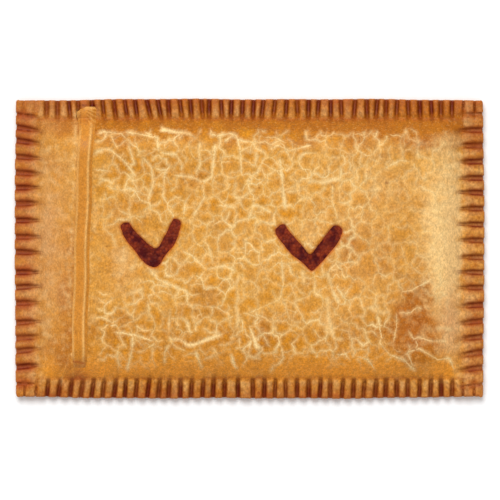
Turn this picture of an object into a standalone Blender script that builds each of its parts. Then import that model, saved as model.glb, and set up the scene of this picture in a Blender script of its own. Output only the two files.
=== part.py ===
"""Beef empanada: a slab pie with a crimped rim, two V-shaped vents and a strip of dough near one end.

Run with: blender --background --python part.py
Units are metres and +Z is up. The pie lies on its flat base at Z = 0, long side along X, and the
origin is the middle of that base.
"""

import math

import bmesh
import bpy
import numpy as np
from mathutils.geometry import delaunay_2d_cdt

MM = 0.001

# Driving dimensions of the pie
LENGTH = 250 * MM
WIDTH = 160 * MM
CROWN = 18.3 * MM
HALF_LENGTH = LENGTH / 2
HALF_WIDTH = WIDTH / 2

# Rim: the pressed edge where lid and base meet
RIM_OUTER = 4.9 * MM
RIM_INNER = 6.3 * MM
END_BAND = 12.8 * MM
SIDE_BAND = 10.8 * MM
SHOULDER = 20 * MM
SHOULDER_ROUND = 2.6
SHOULDER_FOOT = 1.25
CORNER_RADIUS = 2.2 * MM
EDGE_ROUND = 0.7 * MM
UNDERCUT = 1.2 * MM
WIDEST_SHARE = 0.5

# Slow unevenness of hand-trimmed, baked dough
EDGE_WANDER = 0.6 * MM
EDGE_WAVES = (19 * MM, 7.3 * MM)
EDGE_BOW = 0.8 * MM
EDGE_NICK = 0.45 * MM
GROOVE_JITTER = 0.10
GROOVE_LEAN = 0.08
GROOVE_RUN = 0.72
GROOVE_FADE = 0.33
FLAT_FLOOR = 0.3
SWELL = 0.55 * MM
BOW = 1.2 * MM

# Walls of the case round the filling
LID = 3.0 * MM
BASE = 3.0 * MM
CAVITY_MARGIN = 3.5 * MM
CAVITY_FOOT = 5.5 * MM
CAVITY_SHOULDER = 16.5 * MM
CAVITY_CORNER = 8 * MM

# Clearance between neighbouring pieces
GAP = 0.3 * MM
FILLING_SLACK = 1.7 * GAP
STRIP_SLACK = 1.4 * GAP

# Filling where the vents show it
FILLING_SUNK = 1.8 * MM
MINCE_BUMP = 0.35 * MM
MINCE_SIZE = 3.1 * MM

# Strip of dough: it starts as a wide folded end on the back rim and runs to the front rim
STRIP_BACK = 75.4 * MM
STRIP_FRONT = -66.0 * MM
STRIP_BACK_X = -86.4 * MM
STRIP_DRIFT = 4.7 * MM
STRIP_DRIFT_POWER = 0.6
STRIP_HALF_WIDTH = 3.6 * MM
STRIP_THICK = 1.9 * MM
KNOB_HALF_WIDTH = 5.3 * MM
KNOB_THICK = 2.7 * MM
KNOB_SHARE = 0.10
TIP_SHARE = 0.012
TAIL_SHARE = 0.10
STRIP_ROW = 4.0 * MM
STRIP_SECTION = ((-1, 0), (0, 0), (1, 0), (1, 0.55), (0.68, 1), (0, 1.08), (-0.68, 1), (-1, 0.55))

# Spacing of the mesh; the rim's rows are shares of its width
RIM_ROWS = (0.34, 0.66, 0.86, 1.06)
BODY_GRID = 5.6 * MM
CAVITY_GRID = 7.5 * MM
RIM_SPACING = 0.9 * MM
BODY_SPACING = 2.6 * MM
VENT_SPACING = 4.2 * MM
ROUND_STEPS = 4


def hashed(index, salt):
    """A repeatable number from 0 to 1 for each whole-number index."""
    value = np.sin(index * 12.9898 + salt * 78.233) * 43758.5453
    return value - np.floor(value)


def smooth(value):
    """Smoothstep of a value held between 0 and 1."""
    held = np.clip(value, 0.0, 1.0)
    return held * held * (3.0 - 2.0 * held)


class CrimpRow:
    """Grooves pressed across one side of the rim.

    A point of the row is given by its place along the side and its distance inward from the edge.
    Each item of uneven is a ridge's number and its share of the usual width, and each item of swept
    is a place along the side, a spread and the lean of the grooves there.
    """

    def __init__(self, half, reach, count, band, half_width, floor, depth, salt, axis, sign, uneven, swept):
        self.half = half
        self.band = band
        self.half_width = half_width
        self.floor = floor
        self.depth = depth
        self.salt = salt
        self.axis = axis
        self.sign = sign
        self.pitch = 2 * reach / (count - 1)
        steps = np.ones(count)
        for ridge, share in uneven:
            steps[ridge] = share
        index = np.arange(count)
        jitter = (hashed(index, salt) - 0.5) * GROOVE_JITTER * self.pitch
        run = np.cumsum(steps) - steps[0]
        self.centres = reach * (2 * run / run[-1] - 1) + jitter
        self.leans = (hashed(index, salt + 1) - 0.5) * GROOVE_LEAN
        for middle, spread, lean in swept:
            self.leans += lean * np.exp(-(((self.centres - middle) / spread) ** 2))

    def place(self, along, inward):
        """Plan coordinates of a point of this row."""
        across = self.sign * (self.half - inward)
        return (along, across) if self.axis == "x" else (across, along)

    def outward(self):
        """Unit vector in plan that points out over the edge."""
        return np.array((0.0, self.sign) if self.axis == "x" else (self.sign, 0.0))

    def coordinates(self, x, y):
        """Place along the side and distance inward of points given in plan."""
        along, across = (x, y) if self.axis == "x" else (y, x)
        return along, self.half - self.sign * across

    def groove(self, along, inward):
        """Depth pressed into the rim at a point of the row."""
        after = np.searchsorted(self.centres, along)
        away = np.full(np.shape(along), self.half)
        for step in (-2, -1, 0, 1):
            index = np.clip(after + step, 0, len(self.centres) - 1)
            middle = self.centres[index] + self.leans[index] * inward
            away = np.minimum(away, np.abs(along - middle))
        wall = smooth((self.half_width - away) / (self.half_width - self.floor))
        fade = 1.0 - smooth((inward / self.band - GROOVE_RUN) / GROOVE_FADE)
        return self.depth * wall * fade

    def stations(self):
        """(place, lean) of the mesh lines across the row: groove walls, floors and ridge tops."""
        offsets = [-self.half_width, 0.0, self.half_width]
        if self.floor > FLAT_FLOOR * self.half_width:
            offsets = [-self.half_width, -self.floor, self.floor, self.half_width]
        lines = []
        for centre, lean in zip(self.centres, self.leans):
            lines += [(centre + offset, lean) for offset in offsets]
        ridges = [self.centres[0] - self.pitch / 2, self.centres[-1] + self.pitch / 2]
        ridges += list((self.centres[:-1] + self.centres[1:]) / 2)
        corner = (HALF_LENGTH if self.axis == "x" else HALF_WIDTH) - CORNER_RADIUS - RIM_SPACING
        lines += [(ridge, 0.0) for ridge in ridges]
        return sorted(line for line in lines if abs(line[0]) < corner)

    def trim(self, along):
        """How far the edge lies inside its straight line: bow, slow wander and a nick at each groove."""
        slow = np.sin(along / EDGE_WAVES[0] + self.salt)
        quick = np.sin(along / EDGE_WAVES[1] + 2 * self.salt)
        nick = EDGE_NICK * self.groove(along, 0.0) / self.depth
        bow = EDGE_BOW * (along / (HALF_LENGTH if self.axis == "x" else HALF_WIDTH)) ** 2
        return EDGE_WANDER * (0.5 + 0.3 * slow + 0.2 * quick) + nick + bow


LONG = {"half": HALF_WIDTH, "reach": 119.4 * MM, "band": SIDE_BAND, "axis": "x"}
LONG |= {"half_width": 1.45 * MM, "floor": 0.3 * MM, "depth": 2.5 * MM}
SHORT = {"half": HALF_LENGTH, "reach": 71.6 * MM, "count": 18, "band": END_BAND, "axis": "y"}
SHORT |= {"half_width": 1.9 * MM, "floor": 1.1 * MM, "depth": 2.1 * MM}
BACK = CrimpRow(
    **LONG,
    count=42,
    salt=1.0,
    sign=1,
    uneven=((5, 0.8), (6, 1.25), (17, 0.75), (30, 1.3), (33, 0.8)),
    swept=((-58 * MM, 28 * MM, 0.16), (5 * MM, 30 * MM, -0.05)),
)
FRONT = CrimpRow(
    **LONG,
    count=41,
    salt=2.0,
    sign=-1,
    uneven=((19, 1.27), (20, 1.36)),
    swept=((-80 * MM, 65 * MM, 0.13), (60 * MM, 25 * MM, 0.06)),
)
LEFT = CrimpRow(
    **SHORT,
    salt=3.0,
    sign=-1,
    uneven=((3, 0.75), (5, 1.2), (8, 1.2), (16, 0.8), (17, 0.8)),
    swept=((62 * MM, 16 * MM, -0.14), (-50 * MM, 20 * MM, 0.12)),
)
RIGHT = CrimpRow(**SHORT, salt=4.0, sign=1, uneven=(), swept=((-55 * MM, 25 * MM, -0.12),))
ROWS = (FRONT, RIGHT, BACK, LEFT)


def swell(x, y):
    """Gentle hills and hollows of the lid, over a slight bow up to its middle."""
    bow = BOW * np.cos(x / HALF_LENGTH * math.pi / 2) * np.cos(y / HALF_WIDTH * math.pi / 2)
    long_wave = np.sin(x / (27 * MM) + 0.8) * np.cos(y / (31 * MM) - 0.4)
    short_wave = np.sin(x / (13 * MM) - y / (17 * MM)) * np.cos(y / (11 * MM) + x / (41 * MM))
    return bow + SWELL * (0.7 * long_wave + 0.5 * short_wave)


def dome(x, y, margin, shoulder):
    """Share of the full rise, from 0 at the margin inside the rim band to 1 on the crown."""
    ends = np.clip((HALF_LENGTH - np.abs(x) - END_BAND - margin) / shoulder, 0.0, 1.0)
    sides = np.clip((HALF_WIDTH - np.abs(y) - SIDE_BAND - margin) / shoulder, 0.0, 1.0)
    rise = (1.0 - (1.0 - ends) ** SHOULDER_ROUND) * (1.0 - (1.0 - sides) ** SHOULDER_ROUND)
    return rise**SHOULDER_FOOT


def lid_height(x, y):
    """Height of the upper surface without its grooves."""
    ends = (HALF_LENGTH - np.abs(x)) / END_BAND
    sides = (HALF_WIDTH - np.abs(y)) / SIDE_BAND
    rim = RIM_OUTER + (RIM_INNER - RIM_OUTER) * smooth(np.minimum(ends, sides))
    return rim + (CROWN - RIM_INNER + swell(x, y)) * dome(x, y, 0.0, SHOULDER)


def crust_height(x, y):
    """Height of the upper surface with the grooves of all four sides."""
    pressed = np.zeros(np.shape(x))
    for row in ROWS:
        pressed = np.maximum(pressed, row.groove(*row.coordinates(x, y)))
    return lid_height(x, y) - pressed


def cavity_height(x, y):
    """Height of the roof of the hollow that holds the filling."""
    full = CROWN - LID - CAVITY_FOOT + swell(x, y)
    return CAVITY_FOOT + full * dome(x, y, CAVITY_MARGIN, CAVITY_SHOULDER)


def outline():
    """Nominal edge of the pie, counter-clockwise from the front left: points and outward normals."""
    points = []
    normals = []
    turn = {FRONT: -135, RIGHT: -45, BACK: 45, LEFT: 135}
    for row in ROWS:
        corner = math.radians(turn[row])
        signs = np.sign([math.cos(corner), math.sin(corner)])
        trimmed = CORNER_RADIUS + EDGE_WANDER / 2 + EDGE_BOW
        centre = signs * (np.array([HALF_LENGTH, HALF_WIDTH]) - trimmed)
        for step in (-0.5, 0.0, 0.5):
            angle = corner + step * math.pi / 2
            normals.append(np.array([math.cos(angle), math.sin(angle)]))
            points.append(centre + CORNER_RADIUS * normals[-1])
        lines = row.stations() if row in (FRONT, RIGHT) else row.stations()[::-1]
        for along, _ in lines:
            points.append(np.array(row.place(along, row.trim(along))))
            normals.append(row.outward())
    return np.array(points), np.array(normals)


class Vent:
    """A V-shaped cut: two arms from a point, round at the ends and at the point."""

    def __init__(self, point, left, right, half_widths):
        self.point = np.array(point) * MM
        self.ends = (np.array(left) * MM, np.array(right) * MM)
        self.half_widths = np.array(half_widths) * MM

    def arm(self, side):
        """Direction, outer normal and half widths (at the point, at the end) of one arm."""
        along = self.ends[side] - self.point
        along = along / np.linalg.norm(along)
        outer = np.array([along[1], -along[0]]) * (1 if side else -1)
        return along, outer, self.half_widths[side]

    def loop(self):
        """Counter-clockwise outline."""
        along, outer, widths = zip(*(self.arm(side) for side in (0, 1)))
        point_outer = [self.point + outer[side] * widths[side][0] for side in (0, 1)]
        end_outer = [self.ends[side] + outer[side] * widths[side][1] for side in (0, 1)]
        end_inner = [self.ends[side] - outer[side] * widths[side][1] for side in (0, 1)]
        point_inner = [self.point - outer[side] * widths[side][0] for side in (0, 1)]
        run = [point_inner[side] - end_inner[side] for side in (0, 1)]
        crossing = np.linalg.solve(np.column_stack([run[0], -run[1]]), end_inner[1] - end_inner[0])
        inner = end_inner[0] + crossing[0] * run[0]
        bend = self.point + (outer[0] + outer[1]) / np.linalg.norm(outer[0] + outer[1]) * widths[0][0]
        right_cap = self.cap(1, along[1], outer[1], widths[1][1])
        left_cap = self.cap(0, along[0], outer[0], widths[0][1])[::-1]
        path = [bend, point_outer[1], end_outer[1], *right_cap, end_inner[1], inner]
        path += [end_inner[0], *left_cap, end_outer[0], point_outer[0]]
        return divide_loop(np.array(path), VENT_SPACING)

    def cap(self, side, along, outer, width):
        """Points of the round end of an arm, from its outer edge to its inner edge."""
        angles = [math.pi * step / ROUND_STEPS for step in range(1, ROUND_STEPS)]
        return [self.ends[side] + width * (math.cos(a) * outer + math.sin(a) * along) for a in angles]

    def middle(self, spacing):
        """Points down the middle of both arms."""
        points = [self.point]
        for end in self.ends:
            steps = int(np.linalg.norm(end - self.point) // spacing)
            points += [self.point + (end - self.point) * step / steps for step in range(1, steps + 1)]
        return np.array(points)


VENTS = (
    Vent(point=(-51.3, -7.1), left=(-66.6, 13.0), right=(-38.0, 14.2), half_widths=((3.3, 2.5), (2.9, 2.4))),
    Vent(point=(32.7, -7.6), left=(16.7, 10.2), right=(46.5, 10.2), half_widths=((3.3, 3.0), (3.3, 2.8))),
)


def divide_loop(path, spacing):
    """The closed path with each long run cut into even steps no longer than the spacing."""
    points = []
    for start, end in zip(path, np.roll(path, -1, axis=0)):
        steps = max(1, math.ceil(np.linalg.norm(end - start) / spacing - 0.01))
        points += [start + (end - start) * step / steps for step in range(steps)]
    return np.array(points)


def draw_in(loop, distance):
    """The counter-clockwise loop with every side moved inward by the distance."""
    sides = np.roll(loop, -1, axis=0) - loop
    after = np.column_stack([sides[:, 1], -sides[:, 0]]) / np.linalg.norm(sides, axis=1)[:, None]
    before = np.roll(after, 1, axis=0)
    both = (before + after) / np.linalg.norm(before + after, axis=1)[:, None]
    return loop - both * distance / (both * after).sum(axis=1)[:, None]


def inside(loop, points):
    """Whether each point lies inside the closed loop."""
    x, y = points[:, 0:1], points[:, 1:2]
    x0, y0 = loop[:, 0], loop[:, 1]
    x1, y1 = np.roll(x0, -1), np.roll(y0, -1)
    straddles = (y0 > y) != (y1 > y)
    reach = (x1 - x0) * (y - y0) / np.where(y1 == y0, 1.0, y1 - y0) + x0
    return (straddles & (x < reach)).sum(axis=1) % 2 == 1


def keep_apart(points, placed, spacing):
    """The points that lie at least the spacing from the placed ones and from each other."""
    kept = list(placed)
    fresh = []
    for point in points:
        if np.hypot(*(np.array(kept) - point).T).min() >= spacing:
            kept.append(point)
            fresh.append(point)
    return np.array(fresh).reshape(-1, 2)


def grid(half_x, half_y, spacing):
    """Points of a staggered grid over a centred rectangle."""
    columns = int(half_x // spacing)
    rows = int(half_y // spacing)
    points = []
    for row in range(-rows, rows + 1):
        shift = spacing / 2 * (row % 2)
        points += [(column * spacing + shift, row * spacing) for column in range(-columns, columns)]
    return np.array(points)


class Sheet:
    """A plan of triangles between an outer loop and holes, with the vertices of the loops first."""

    def __init__(self, outer, holes, points):
        loops = [outer, *holes]
        starts = np.cumsum([0] + [len(loop) for loop in loops])
        self.loops = [list(range(a, b)) for a, b in zip(starts[:-1], starts[1:])]
        self.plan = np.vstack([*loops, points])
        coords = [tuple(point / MM) for point in self.plan]
        result = delaunay_2d_cdt(coords, [], self.loops, 0, 1e-5, True)
        source = [found[0] for found in result[3]]
        self.triangles = [
            [source[corner] for corner in face]
            for face, regions in zip(result[2], result[5])
            if list(regions) == [0]
        ]

    def build(self, shape, height, margin=0.0):
        """Adds the sheet at a height function to a bmesh, its loops drawn in by a margin.

        Returns the vertices, in the order of the plan.
        """
        heights = height(self.plan[:, 0], self.plan[:, 1])
        plan = self.plan.copy()
        for ring in self.loops:
            plan[ring] = draw_in(plan[ring], margin)
        vertices = ring_of(shape, plan, heights)
        for triangle in self.triangles:
            shape.faces.new([vertices[corner] for corner in triangle])
        return vertices


def ring_of(shape, plan, heights):
    """A ring of new vertices over plan points."""
    heights = np.broadcast_to(heights, len(plan))
    return [shape.verts.new((x, y, z)) for (x, y), z in zip(plan, heights)]


def join_rings(shape, first, second):
    """Quads between two rings of the same count."""
    for (a, b), (c, d) in zip(pairs(first), pairs(second)):
        shape.faces.new((a, b, d, c))


def pairs(ring):
    """Each item of a ring with the next one round."""
    return zip(ring, ring[1:] + ring[:1])


def make_piece(shape, name, colour, roughness):
    """Turns a closed bmesh into a smooth-shaded object with its own material."""
    bmesh.ops.triangulate(shape, faces=[face for face in shape.faces if len(face.verts) > 3])
    bmesh.ops.recalc_face_normals(shape, faces=shape.faces)
    mesh = bpy.data.meshes.new(name)
    shape.to_mesh(mesh)
    shape.free()
    mesh.shade_smooth()
    mesh.set_sharp_from_angle(angle=math.radians(40))
    mesh.materials.append(material(name, colour, roughness))
    piece = bpy.data.objects.new(name, mesh)
    bpy.context.scene.collection.objects.link(piece)
    return piece


def material(name, colour, roughness):
    """A Principled material of an sRGB colour, given in steps of 0 to 255."""
    linear = [((channel / 255 + 0.055) / 1.055) ** 2.4 for channel in colour]
    made = bpy.data.materials.new(name)
    made.use_nodes = True
    shader = made.node_tree.nodes["Principled BSDF"]
    shader.inputs["Base Color"].default_value = (*linear, 1.0)
    shader.inputs["Roughness"].default_value = roughness
    made.diffuse_color = (*linear, 1.0)
    return made


def strip_frame(share):
    """Place and size of the strip a share of the way to its front end: x, y, half width, thickness."""
    y = STRIP_BACK + (STRIP_FRONT - STRIP_BACK) * share
    x = STRIP_BACK_X - STRIP_DRIFT * share**STRIP_DRIFT_POWER
    knob = 1.0 - smooth(share / KNOB_SHARE)
    tip = 1.0 - smooth(share / TIP_SHARE)
    tail = smooth((share - 1.0) / TAIL_SHARE + 1.0)
    half_width = STRIP_HALF_WIDTH + (KNOB_HALF_WIDTH - STRIP_HALF_WIDTH) * knob
    thick = STRIP_THICK + (KNOB_THICK - STRIP_THICK) * knob
    return x, y, half_width * (1 - 0.28 * tip - 0.15 * tail), thick * (1 - 0.5 * tip - 0.55 * tail)


def strip_shares():
    """Shares of the strip's length where it has a cross-section, closer at the folded end."""
    close = [0.0, TIP_SHARE / 2, TIP_SHARE, 0.3 * KNOB_SHARE, 0.5 * KNOB_SHARE, 0.75 * KNOB_SHARE]
    plain = 1.0 - KNOB_SHARE
    count = round((STRIP_BACK - STRIP_FRONT) * plain / STRIP_ROW)
    return close + [KNOB_SHARE + plain * step / count for step in range(count + 1)]


def strip_lines():
    """Plan points of the crust under the strip: both edges and the middle of each cross-section."""
    points = []
    for share in strip_shares():
        x, y, half_width, _ = strip_frame(share)
        points += [(x + side * half_width, y) for side in (-1, 0, 1)]
    return np.array(points)


def rim_points():
    """Plan points of the rim: each row's mesh lines, followed from near its edge to the foot of the dome."""
    points = []
    for row in ROWS:
        for depth in RIM_ROWS:
            inward = depth * row.band
            points += [row.place(along + lean * inward, inward) for along, lean in row.stations()]
    points = np.array(points)
    clear = np.array([HALF_LENGTH, HALF_WIDTH]) - CORNER_RADIUS
    return points[(np.abs(points) < clear).all(axis=1)]


def build_crust():
    """The pastry case: crimped upper surface, edge, flat base, and the hollow open at the vents."""
    edge, normals = outline()
    vent_loops = [vent.loop() for vent in VENTS]
    placed = np.vstack([edge - normals * EDGE_ROUND, *vent_loops])
    points = keep_apart(strip_lines(), placed, RIM_SPACING)
    points = np.vstack([points, keep_apart(rim_points(), np.vstack([placed, points]), RIM_SPACING)])
    body = grid(HALF_LENGTH - END_BAND, HALF_WIDTH - SIDE_BAND, BODY_GRID)
    body = body[~np.any([inside(loop, body) for loop in vent_loops], axis=0)]
    points = np.vstack([points, keep_apart(body, np.vstack([placed, points]), BODY_SPACING)])
    top = Sheet(edge - normals * EDGE_ROUND, vent_loops, points)

    shape = bmesh.new()
    vertices = top.build(shape, crust_height)
    upper = [vertices[corner] for corner in top.loops[0]]
    widest = ring_of(shape, edge, [WIDEST_SHARE * vertex.co.z for vertex in upper])
    join_rings(shape, widest, upper)
    build_underside(shape, widest, edge - normals * UNDERCUT)

    cavity = cavity_sheet()
    roof = cavity.build(shape, cavity_height)
    for upper_loop, lower_loop in zip(top.loops[1:], cavity.loops[1:]):
        join_rings(shape, [vertices[c] for c in upper_loop], [roof[c] for c in lower_loop])
    foot = ring_of(shape, cavity.plan[cavity.loops[0]], BASE)
    join_rings(shape, [roof[corner] for corner in cavity.loops[0]], foot)
    shape.faces.new(foot)
    return make_piece(shape, "crust", (222, 164, 86), 0.5)


def build_underside(shape, widest, plan):
    """The lower edge and the flat base, with one corner of the base for every few of the edge."""
    chosen = list(range(0, len(widest), ROUND_STEPS))
    base = dict(zip(chosen, ring_of(shape, plan[chosen], 0.0)))
    for start, end in pairs(chosen):
        span = range(start, end + 1) if end > start else [*range(start, len(widest)), end]
        shape.faces.new([*(widest[index] for index in span), base[end], base[start]])
    shape.faces.new(list(base.values()))


def cavity_sheet():
    """Plan of the hollow's roof, with a hole for each vent."""
    half_x = HALF_LENGTH - END_BAND - CAVITY_MARGIN - CAVITY_CORNER
    half_y = HALF_WIDTH - SIDE_BAND - CAVITY_MARGIN - CAVITY_CORNER
    corners = []
    for quarter, (side_x, side_y) in enumerate(((1, 1), (-1, 1), (-1, -1), (1, -1))):
        for step in range(ROUND_STEPS + 1):
            angle = math.pi / 2 * (quarter + step / ROUND_STEPS)
            turn = np.array([math.cos(angle), math.sin(angle)])
            corners.append(np.array([side_x * half_x, side_y * half_y]) + CAVITY_CORNER * turn)
    outer = divide_loop(np.array(corners), CAVITY_GRID)
    loops = [vent.loop() for vent in VENTS]
    points = grid(HALF_LENGTH - END_BAND, HALF_WIDTH - SIDE_BAND, CAVITY_GRID)
    bounds = np.vstack([divide_loop(outer, BODY_SPACING), *loops])
    points = keep_apart(points[inside(outer, points)], bounds, BODY_SPACING)
    points = points[~np.any([inside(loop, points) for loop in loops], axis=0)]
    return Sheet(outer, loops, points)


def mince_height(x, y):
    """Uneven top of the filling in a vent."""
    lumps = np.sin(x / MINCE_SIZE * 2.1 + 1.0) * np.cos(y / MINCE_SIZE * 1.7)
    return lid_height(x, y) - FILLING_SUNK + MINCE_BUMP * lumps


def build_filling():
    """The filling: it takes up the hollow and rises into both vents."""
    shape = bmesh.new()
    sheet = cavity_sheet()
    top = sheet.build(shape, lambda x, y: cavity_height(x, y) - FILLING_SLACK, GAP)
    for vent, loop in zip(VENTS, sheet.loops[1:]):
        plan = draw_in(vent.loop(), GAP)
        lumps = Sheet(plan, [], keep_apart(vent.middle(MINCE_SIZE), plan, RIM_SPACING))
        raised = lumps.build(shape, mince_height)
        join_rings(shape, [raised[corner] for corner in lumps.loops[0]], [top[c] for c in loop])
    foot = ring_of(shape, draw_in(sheet.plan[sheet.loops[0]], GAP), BASE + GAP)
    join_rings(shape, [top[corner] for corner in sheet.loops[0]], foot)
    shape.faces.new(foot)
    return make_piece(shape, "filling", (122, 54, 33), 0.35)


def build_strip():
    """The strip of dough, draped over the lid from the back rim to the front rim."""
    shape = bmesh.new()
    rings = []
    sides, levels = np.array(STRIP_SECTION).T
    for share in strip_shares():
        x, y, half_width, thick = strip_frame(share)
        across = x + sides * half_width
        places = np.full(len(across), y)
        heights = lid_height(across, places) + STRIP_SLACK + levels * thick
        rings.append(ring_of(shape, np.column_stack([across, places]), heights))
    for first, second in zip(rings, rings[1:]):
        join_rings(shape, first, second)
    shape.faces.new(rings[0])
    shape.faces.new(rings[-1])
    return make_piece(shape, "dough_strip", (214, 150, 76), 0.5)


def clear_scene():
    """Removes what the scene starts with."""
    for piece in list(bpy.data.objects):
        bpy.data.objects.remove(piece, do_unlink=True)


def main():
    """Builds the three pieces of the pie."""
    clear_scene()
    build_crust()
    build_filling()
    build_strip()


main()
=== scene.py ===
"""Looks of a baked slab pie: a crackled golden crust, its minced-beef filling and a strip of dough.

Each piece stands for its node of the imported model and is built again, finely, from the same driving
sizes. Lengths are in metres in the model's own frame, +Z up, with the pie on its flat base at Z = 0.
"""

import logging
import math
from collections.abc import Callable, Iterable, Mapping, Sequence
from dataclasses import dataclass
from enum import Enum
from functools import cached_property
from typing import ClassVar

import bmesh
import bpy
import numpy as np
from bpy.types import Material, Node, NodeSocket, NodeTree, Object
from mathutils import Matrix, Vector, kdtree
from mathutils.geometry import delaunay_2d_cdt


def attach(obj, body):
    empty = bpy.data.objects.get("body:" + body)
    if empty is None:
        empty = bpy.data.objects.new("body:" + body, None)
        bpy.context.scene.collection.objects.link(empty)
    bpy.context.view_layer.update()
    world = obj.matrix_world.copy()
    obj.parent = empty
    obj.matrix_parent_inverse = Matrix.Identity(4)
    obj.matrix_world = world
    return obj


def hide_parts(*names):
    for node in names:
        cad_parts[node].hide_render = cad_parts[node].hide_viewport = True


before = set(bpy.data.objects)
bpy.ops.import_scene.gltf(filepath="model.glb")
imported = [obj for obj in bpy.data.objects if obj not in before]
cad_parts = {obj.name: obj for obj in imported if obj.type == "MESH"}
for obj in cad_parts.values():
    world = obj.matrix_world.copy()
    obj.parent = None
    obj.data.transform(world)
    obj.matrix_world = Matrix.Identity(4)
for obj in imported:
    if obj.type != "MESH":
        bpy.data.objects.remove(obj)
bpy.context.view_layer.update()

MM = 0.001
BODY = "root"
LOG = logging.getLogger("slab pie")

Array = np.ndarray
Colour = tuple[float, float, float]


# -------- numbers


def clamped(value: Array | float) -> Array:
    """A value held between 0 and 1."""
    return np.clip(value, 0.0, 1.0)


def smooth(value: Array | float) -> Array:
    """Smoothstep of a value held between 0 and 1."""
    held = clamped(value)
    return held * held * (3.0 - 2.0 * held)


def bell(value: Array | float) -> Array:
    """Bell curve: 1 at zero, falling to 0.37 at plus or minus one."""
    return np.exp(-np.square(value))


def hashed(index: Array | float, salt: float) -> Array:
    """A repeatable number from 0 to 1 for each whole-number index."""
    value = np.sin(index * 12.9898 + salt * 78.233) * 43758.5453
    return value - np.floor(value)


def lattice(column: Array, row: Array, salt: float) -> Array:
    """A repeatable number from 0 to 1 for each crossing of a square lattice."""
    value = np.sin(column * 127.1 + row * 311.7 + salt * 74.7) * 43758.5453
    return value - np.floor(value)


def blobs(x: Array, y: Array, size: float, salt: float) -> Array:
    """Smooth noise from 0 to 1 over the plan.

    Args:
        x: places along X.
        y: places along Y.
        size: width of one blob.
        salt: picks one of many patterns.

    Returns:
        The noise at each place.
    """
    column, row = np.floor(x / size), np.floor(y / size)
    across, up = smooth(x / size - column), smooth(y / size - row)
    low = lattice(column, row, salt) * (1 - across) + lattice(column + 1, row, salt) * across
    high = lattice(column, row + 1, salt) * (1 - across) + lattice(column + 1, row + 1, salt) * across
    return low * (1 - up) + high * up


def cloud(x: Array, y: Array, size: float, salt: float) -> Array:
    """Noise of three sizes, each half the one before, from 0 to 1 with most of it near 0.5.

    Args:
        x: places along X.
        y: places along Y.
        size: width of its widest blobs.
        salt: picks one of many patterns.

    Returns:
        The noise at each place.
    """
    turned_x, turned_y = 0.8 * x - 0.6 * y, 0.6 * x + 0.8 * y
    coarse = blobs(turned_x, turned_y, size, salt)
    middle = blobs(y, x, size / 2, salt + 1)
    fine = blobs(turned_y, turned_x, size / 4, salt + 2)
    return (4 * coarse + 2 * middle + fine) / 7


LIGHT_LEVEL = 1.2
SHEEN = 0.009


def seen(red: float, green: float, blue: float) -> Colour:
    """Base colour of a glazed surface that looks like this screen colour in the studio.

    Args:
        red: red of the look, from 0 to 255.
        green: its green.
        blue: its blue.

    Returns:
        The linear base colour, without the white that the gloss adds.
    """
    shares = (red / 255, green / 255, blue / 255)
    linear = (((share + 0.055) / 1.055) ** 2.4 if share > 0.04 else share / 12.92 for share in shares)
    return tuple(max(0.002, (value - SHEEN) / LIGHT_LEVEL) for value in linear)


# -------- form of the pie


@dataclass(frozen=True)
class PieShape:
    """Driving sizes of the pie, and the smooth surfaces that follow from them."""

    length: float = 250 * MM
    width: float = 160 * MM
    crown: float = 18.3 * MM
    rim_outer: float = 4.9 * MM
    rim_inner: float = 6.3 * MM
    end_band: float = 12.8 * MM
    side_band: float = 10.8 * MM
    shoulder: float = 20 * MM
    shoulder_round: float = 2.6
    shoulder_foot: float = 1.25
    corner_radius: float = 1.3 * MM
    swelling: float = 0.55 * MM
    bow: float = 1.2 * MM
    lid: float = 3 * MM
    base: float = 3 * MM
    cavity_margin: float = 3.5 * MM
    cavity_foot: float = 5.5 * MM
    cavity_shoulder: float = 16.5 * MM
    cavity_corner: float = 8 * MM

    @property
    def half(self) -> Array:
        """Half the length and half the width."""
        return np.array([self.length, self.width]) / 2

    def swell(self, x: Array, y: Array) -> Array:
        """Gentle hills and hollows of the lid, over a slight bow up to its middle.

        Args:
            x: places along X.
            y: places along Y.

        Returns:
            The rise above the crown's height.
        """
        half_x, half_y = self.half
        bow = self.bow * np.cos(x / half_x * math.pi / 2) * np.cos(y / half_y * math.pi / 2)
        long_wave = np.sin(x / (27 * MM) + 0.8) * np.cos(y / (31 * MM) - 0.4)
        short_wave = np.sin(x / (13 * MM) - y / (17 * MM)) * np.cos(y / (11 * MM) + x / (41 * MM))
        return bow + self.swelling * (0.7 * long_wave + 0.5 * short_wave)

    def dome(self, x: Array, y: Array, margin: float, shoulder: float) -> Array:
        """Share of the full rise, from 0 at the margin inside the rim band to 1 on the crown.

        Args:
            x: places along X.
            y: places along Y.
            margin: distance from the rim band to the foot of the rise.
            shoulder: width of the rise.

        Returns:
            The share at each place.
        """
        half_x, half_y = self.half
        ends = clamped((half_x - np.abs(x) - self.end_band - margin) / shoulder)
        sides = clamped((half_y - np.abs(y) - self.side_band - margin) / shoulder)
        power = self.shoulder_round
        rise = (1 - (1 - ends) ** power) * (1 - (1 - sides) ** power)
        return rise**self.shoulder_foot

    def lid_height(self, x: Array, y: Array) -> Array:
        """Height of the upper surface without its grooves.

        Args:
            x: places along X.
            y: places along Y.

        Returns:
            The height at each place.
        """
        half_x, half_y = self.half
        nearest = np.minimum((half_x - np.abs(x)) / self.end_band, (half_y - np.abs(y)) / self.side_band)
        rim = self.rim_outer + (self.rim_inner - self.rim_outer) * smooth(nearest)
        return rim + (self.crown - self.rim_inner + self.swell(x, y)) * self.dome(x, y, 0.0, self.shoulder)

    def cavity_height(self, x: Array, y: Array) -> Array:
        """Height of the roof of the hollow that holds the filling."""
        full = self.crown - self.lid - self.cavity_foot + self.swell(x, y)
        return self.cavity_foot + full * self.dome(x, y, self.cavity_margin, self.cavity_shoulder)


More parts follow.
